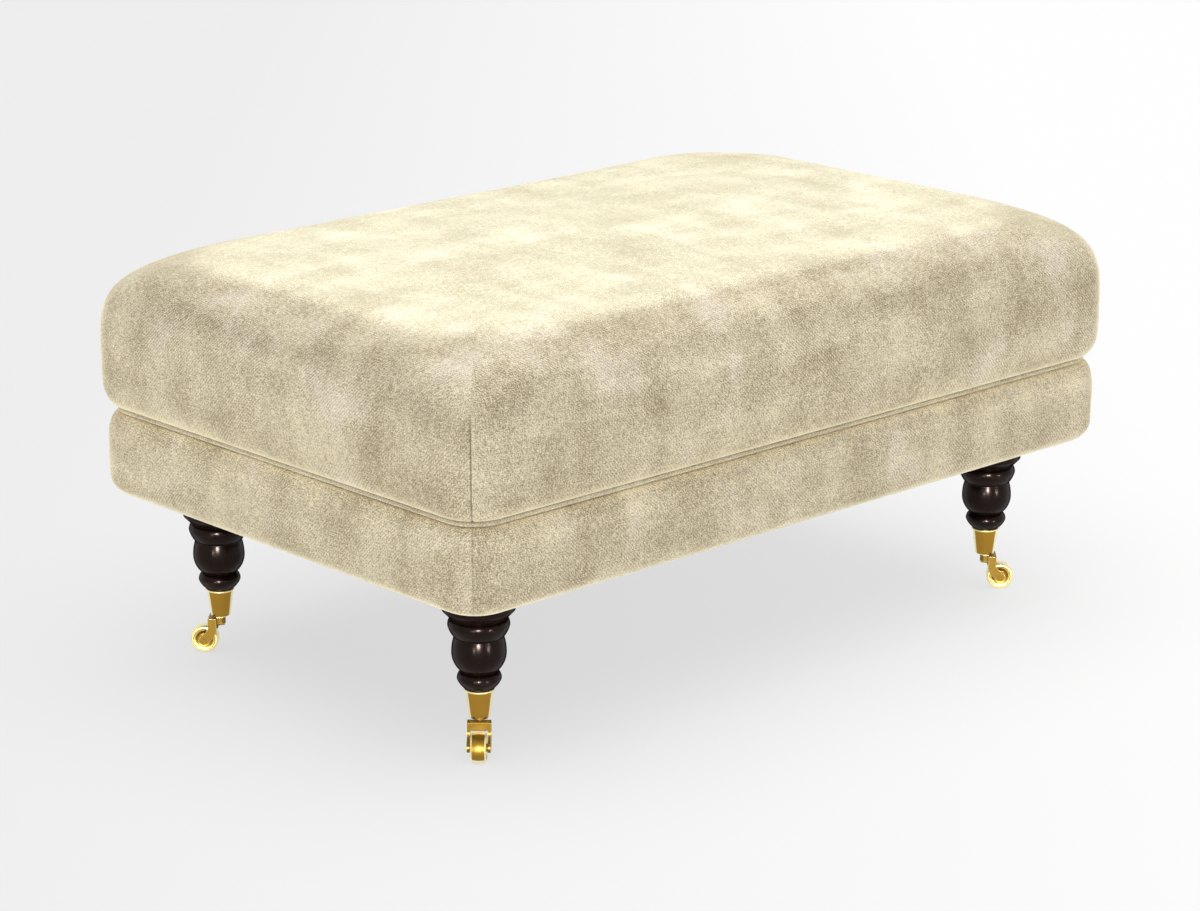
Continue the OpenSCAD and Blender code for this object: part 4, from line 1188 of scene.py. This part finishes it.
def make_castors():
    cup, horn, wheel, axle = make_cup(), make_horn(), make_wheel(), make_axle()
    patterns = {"swivel_pins": make_pin(), "thrust_washers": make_washer(), "cup_screws": make_cup_screw()}
    copies = {node: [] for node in patterns}
    screw_h = 19.0
    screw_r = CUP_FOOT_R + CUP_SLOPE * screw_h - 0.3
    for name, (sx, sy, heading) in CORNERS.items():
        axis = Matrix.Translation((sx * LEG_X * MM, sy * LEG_Y * MM, 0))
        axis = axis @ Matrix.Rotation(math.radians(heading), 4, "Z")
        at_axle = axis @ Matrix.Translation((TRAIL * MM, 0, AXLE_Z * MM))
        for pattern, kind, place, body, node in (
                (cup, "cup", axis, "stool", "castor_cup"),
                (horn, "horn", axis, f"horn_{name}", "castor_horn"),
                (axle, "axle", at_axle, f"horn_{name}", "axle"),
                (wheel, "wheel", at_axle, f"roller_{name}", "wheel")):
            fit_on(copy_to(pattern, f"brass_{kind}_{name}", place), body, "brass", f"{node}_{name}")
        out = Matrix.Rotation(math.pi, 4, "Z") @ Matrix.Translation((screw_r * MM, 0, (CUP_Z + screw_h) * MM))
        slant = Matrix.Rotation(math.pi / 2, 4, "Y") @ Matrix.Rotation(math.radians(25 + 40 * sx), 4, "Z")
        at_screw = axis @ out @ slant
        for node, place in (("swivel_pins", axis), ("thrust_washers", axis), ("cup_screws", at_screw)):
            copies[node].append(copy_to(patterns[node], f"{node}_{name}", place))
    for node, pieces in copies.items():
        fit_on(joined(f"brass_{node}", pieces), "stool", "brass", node)
    for pattern in (cup, horn, wheel, axle, *patterns.values()):
        bpy.data.objects.remove(pattern)


# Underside and frame

def cloth_sheet(name, points, faces, weft, material):
    """Cloth from points in millimetres, each with its place on the flat cloth."""
    sheet = new_piece(name, points, faces, material)
    layer = sheet.data.uv_layers.new(name="weft")
    corners = np.array([loop.vertex_index for loop in sheet.data.loops])
    layer.data.foreach_set("uv", (np.array(weft) * MM).astype(np.float32)[corners].ravel())
    return sheet


def rounded_sheet(name, inset, height, thickness, material):
    """A flat sheet with the stool's rounded outline."""
    half_w, half_d, r = SEAT_W / 2 - inset, SEAT_D / 2 - inset, max(CORNER_R - inset, 4.0)
    columns, rows = 61, 41
    points = []
    for y in np.linspace(-half_d, half_d, rows):
        for x in np.linspace(-half_w, half_w, columns):
            over_x, over_y = abs(x) - (half_w - r), abs(y) - (half_d - r)
            far = math.hypot(over_x, over_y)
            if over_x > 0 and over_y > 0 and far > r:
                points.append((math.copysign(half_w - r + over_x * r / far, x),
                               math.copysign(half_d - r + over_y * r / far, y), height))
            else:
                points.append((x, y, height))
    faces = [(j * columns + i, j * columns + i + 1, (j + 1) * columns + i + 1, (j + 1) * columns + i)
             for j in range(rows - 1) for i in range(columns - 1)]
    sheet = cloth_sheet(name, points, faces, [p[:2] for p in points], material)
    wall = sheet.modifiers.new("thickness", "SOLIDIFY")
    wall.thickness = thickness * MM
    wall.offset = 0
    apply_modifiers(sheet)
    smooth(sheet, 40)
    return sheet


def make_underside():
    cover = rounded_sheet("dust_cover", 42.0, LEG_TOP_Z + 0.4, 0.5, DUST_COVER)
    fit_on(cover, "stool", "bottoming_cloth", "bottoming_cloth")
    staples = grow("underside_staples", loop_path(46.5, LEG_TOP_Z - 0.35), staple_group(), ZINC, {
        "Spacing": 48.0, "Crown Length": 10.0, "Wire Radius": 0.55})
    fit_on(staples, "stool", "zinc_steel")
    platform = rounded_sheet("hessian_platform", 32.0, 287.0, 0.6, HESSIAN)
    fit_on(platform, "stool", "platform_cloth", "platform_cloth")


def strap(line, width, across, thickness):
    """Points and faces of one woven strap. line is (along, height), and across is where it lies sideways."""
    points = [(along, across + side * width / 2, height + up * thickness / 2)
              for along, height in line for side, up in ((-1, -1), (1, -1), (1, 1), (-1, 1))]
    last = len(line) - 1
    faces = [(4 * k + i, 4 * k + 4 + i, 4 * k + 4 + (i + 1) % 4, 4 * k + (i + 1) % 4)
             for k in range(last) for i in range(4)]
    return points, faces + [(0, 1, 2, 3), tuple(4 * last + i for i in (3, 2, 1, 0))]


def woven_line(row, height):
    """Centre line of a long strap, which passes over and under the cross straps by turns."""
    pitch, lift = 150, 1.4
    line = [(-470, height), (-450, height)]
    for a in np.linspace(-445, 445, 140):
        near = round(a / pitch - 0.5) * pitch + pitch / 2
        sign = 1 if (round((near + 375) / pitch) + row) % 2 == 0 else -1
        hump = step_between(-abs(a - near), -44, -31) * step_between(-abs(a), -450, -430)
        line.append((a, height + sign * lift * float(hump)))
    return line + [(450, height), (470, height)]


def make_webbing():
    """Six straps across the stool and three along it, woven through them."""
    height, thickness, width = 284.4, 1.2, 50.0
    inner_w, inner_d = 900.0, 550.0
    flat_line = [(a, height) for a in np.linspace(-295, 295, 40)]
    cross = [(flat_line, inner_w / 6 * (row - 2.5)) for row in range(6)]
    long = [(woven_line(row, height), inner_d / 3 * (row - 1)) for row in range(3)]
    for kind, straps in (("cross", cross), ("long", long)):
        points, faces, weft = [], [], []
        for line, place in straps:
            p, f = strap(line, width, place, thickness)
            faces += [tuple(i + len(points) for i in face) for face in f]
            weft += [q[:2] for q in p]
            points += [(-q[1], q[0], q[2]) if kind == "cross" else q for q in p]
        piece = cloth_sheet(f"webbing_straps_{kind}", points, faces, weft, WEBBING)
        outwards(piece)
        smooth(piece, 40)
        fit_on(piece, "stool", "webbing", f"webbing_{kind}")


def finish_frame_pieces():
    """Gives the frame's own solids their finishes."""
    rails = ["front_rail", "back_rail", "left_rail", "right_rail", "cross_rail_left", "cross_rail_right"]
    finishes = {name: TIMBER for name in rails + [f"corner_block_{name}" for name in CORNERS]}
    finishes.update({name: ZINC for name in ("frame_screws", "block_screws", "hanger_bolts", "t_nuts")})
    finishes["tack_strip"] = CARD
    for name, material in finishes.items():
        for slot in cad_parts[name].material_slots:
            slot.material = material


# Studio

def facing(azimuth, elevation):
    """The direction towards a viewer or lamp. Azimuth 0 is in front and 90 to the right."""
    a, e = math.radians(azimuth), math.radians(elevation)
    return Vector((math.sin(a) * math.cos(e), -math.cos(a) * math.cos(e), math.sin(e)))


VIEW_AZIMUTH = -43.17


def add_sun(name, azimuth, elevation, strength, spread, colour=(1, 1, 1), glints=False, casts=True):
    """A far lamp. One with glints only shows as highlights, and one without them only lights."""
    lamp = bpy.data.lights.new(name, "SUN")
    lamp.energy = strength
    lamp.angle = math.radians(spread)
    lamp.color = colour
    lamp.use_shadow = casts
    sun = placed(name, lamp)
    sun.visible_glossy = glints
    sun.visible_diffuse = not glints
    sun.rotation_mode = "QUATERNION"
    sun.rotation_quaternion = facing(azimuth, elevation).to_track_quat("Z", "Y")
    return sun


def make_camera():
    lens = bpy.data.cameras.new("camera")
    lens.lens = 104.97
    lens.sensor_width = 36
    lens.clip_end = 100
    camera = placed("camera", lens)
    camera.location = (-2.63873, -2.79126, 1.34264)
    camera.rotation_mode = "QUATERNION"
    camera.rotation_quaternion = (-facing(VIEW_AZIMUTH, 16.61)).to_track_quat("-Z", "Y")
    bpy.context.scene.camera = camera


def make_world():
    """A pale surround that lights softly and shows brighter in polished pieces."""
    world = bpy.data.worlds.new("studio")
    bpy.context.scene.world = world
    world.use_nodes = True
    world.node_tree.nodes.clear()
    t = Tree(world.node_tree)
    seen = t.add("ShaderNodeLightPath")
    lit = t.add("ShaderNodeBackground", {0: (1, 1, 1, 1), 1: 0.25 + seen.other("Is Glossy Ray") * 0.65})
    shown = t.add("ShaderNodeBackground", {0: paint(244, 244, 245), 1: 1.0})
    t.add("ShaderNodeOutputWorld", {0: t.add("ShaderNodeMixShader", {0: seen, 1: lit, 2: shown})})


def make_floor():
    """A pale sweep, a little lighter to the right, that keeps a soft shadow."""
    reach, half_view = 20000, 0.78
    corners = [(-reach, -reach, 0), (reach, -reach, 0), (reach, reach, 0), (-reach, reach, 0)]
    t, place = new_finish("pale_floor")
    x, y, _ = t.parts(place)
    sideways = x * math.cos(math.radians(VIEW_AZIMUTH)) + y * math.sin(math.radians(VIEW_AZIMUTH))
    tone = t.blend(paint(236, 236, 237), paint(253, 253, 253), (sideways + half_view) * (0.5 / half_view))
    path = t.add("ShaderNodeLightPath")
    seen = (path + path.other("Is Glossy Ray") + path.other("Is Transmission Ray")).held()
    lit = t.add("ShaderNodeBsdfDiffuse", {0: t.shade(tone, 1 / 2.01)})
    glow = t.add("ShaderNodeEmission", {0: tone, 1: 1.0})
    shown = t.add("ShaderNodeMixShader", {0: 0.25, 1: glow, 2: lit})
    bounce = t.add("ShaderNodeBsdfDiffuse", {0: (0.66, 0.65, 0.63, 1)})
    material = t.done(t.add("ShaderNodeMixShader", {0: seen, 1: bounce, 2: shown}))
    floor = new_piece("floor", corners, [(0, 1, 2, 3)], material)
    return floor


def make_studio():
    make_camera()
    softbox = add_sun("overhead_softbox", 0, 90, 4.65, 30)
    floor_lamp = add_sun("floor_softbox", -30, 83, 5.2, 80)
    for azimuth in range(0, 360, 45):
        add_sun(f"fill_{azimuth}", azimuth, 20, 0.15 if azimuth in (0, 45) else 0.24, 60, casts=False)
    add_sun("front_lamp", VIEW_AZIMUTH, 11, 5.6, 8, (1.0, 0.93, 0.9), True)
    add_sun("left_lamp", VIEW_AZIMUTH - 18, 1, 0.75, 7, (1.0, 0.9, 0.86), True)
    add_sun("right_lamp", VIEW_AZIMUTH + 43, 3, 1.0, 7, (1.0, 0.9, 0.9), True)
    make_world()
    floor = make_floor()
    # The floor has its own wide softbox, so that the shadow is soft and stays under the stool
    for lamp, state in ((softbox, "EXCLUDE"), (floor_lamp, "INCLUDE")):
        lit_by_lamp = bpy.data.collections.new(f"lit_by_{lamp.name}")
        lit_by_lamp.objects.link(floor)
        lit_by_lamp.collection_objects[0].light_linking.link_state = state
        lamp.light_linking.receiver_collection = lit_by_lamp
    bpy.context.scene.view_settings.view_transform = "Standard"


make_studio()
make_pad()
make_border()
make_piping()
make_legs()
make_castors()
make_webbing()
make_underside()
finish_frame_pieces()
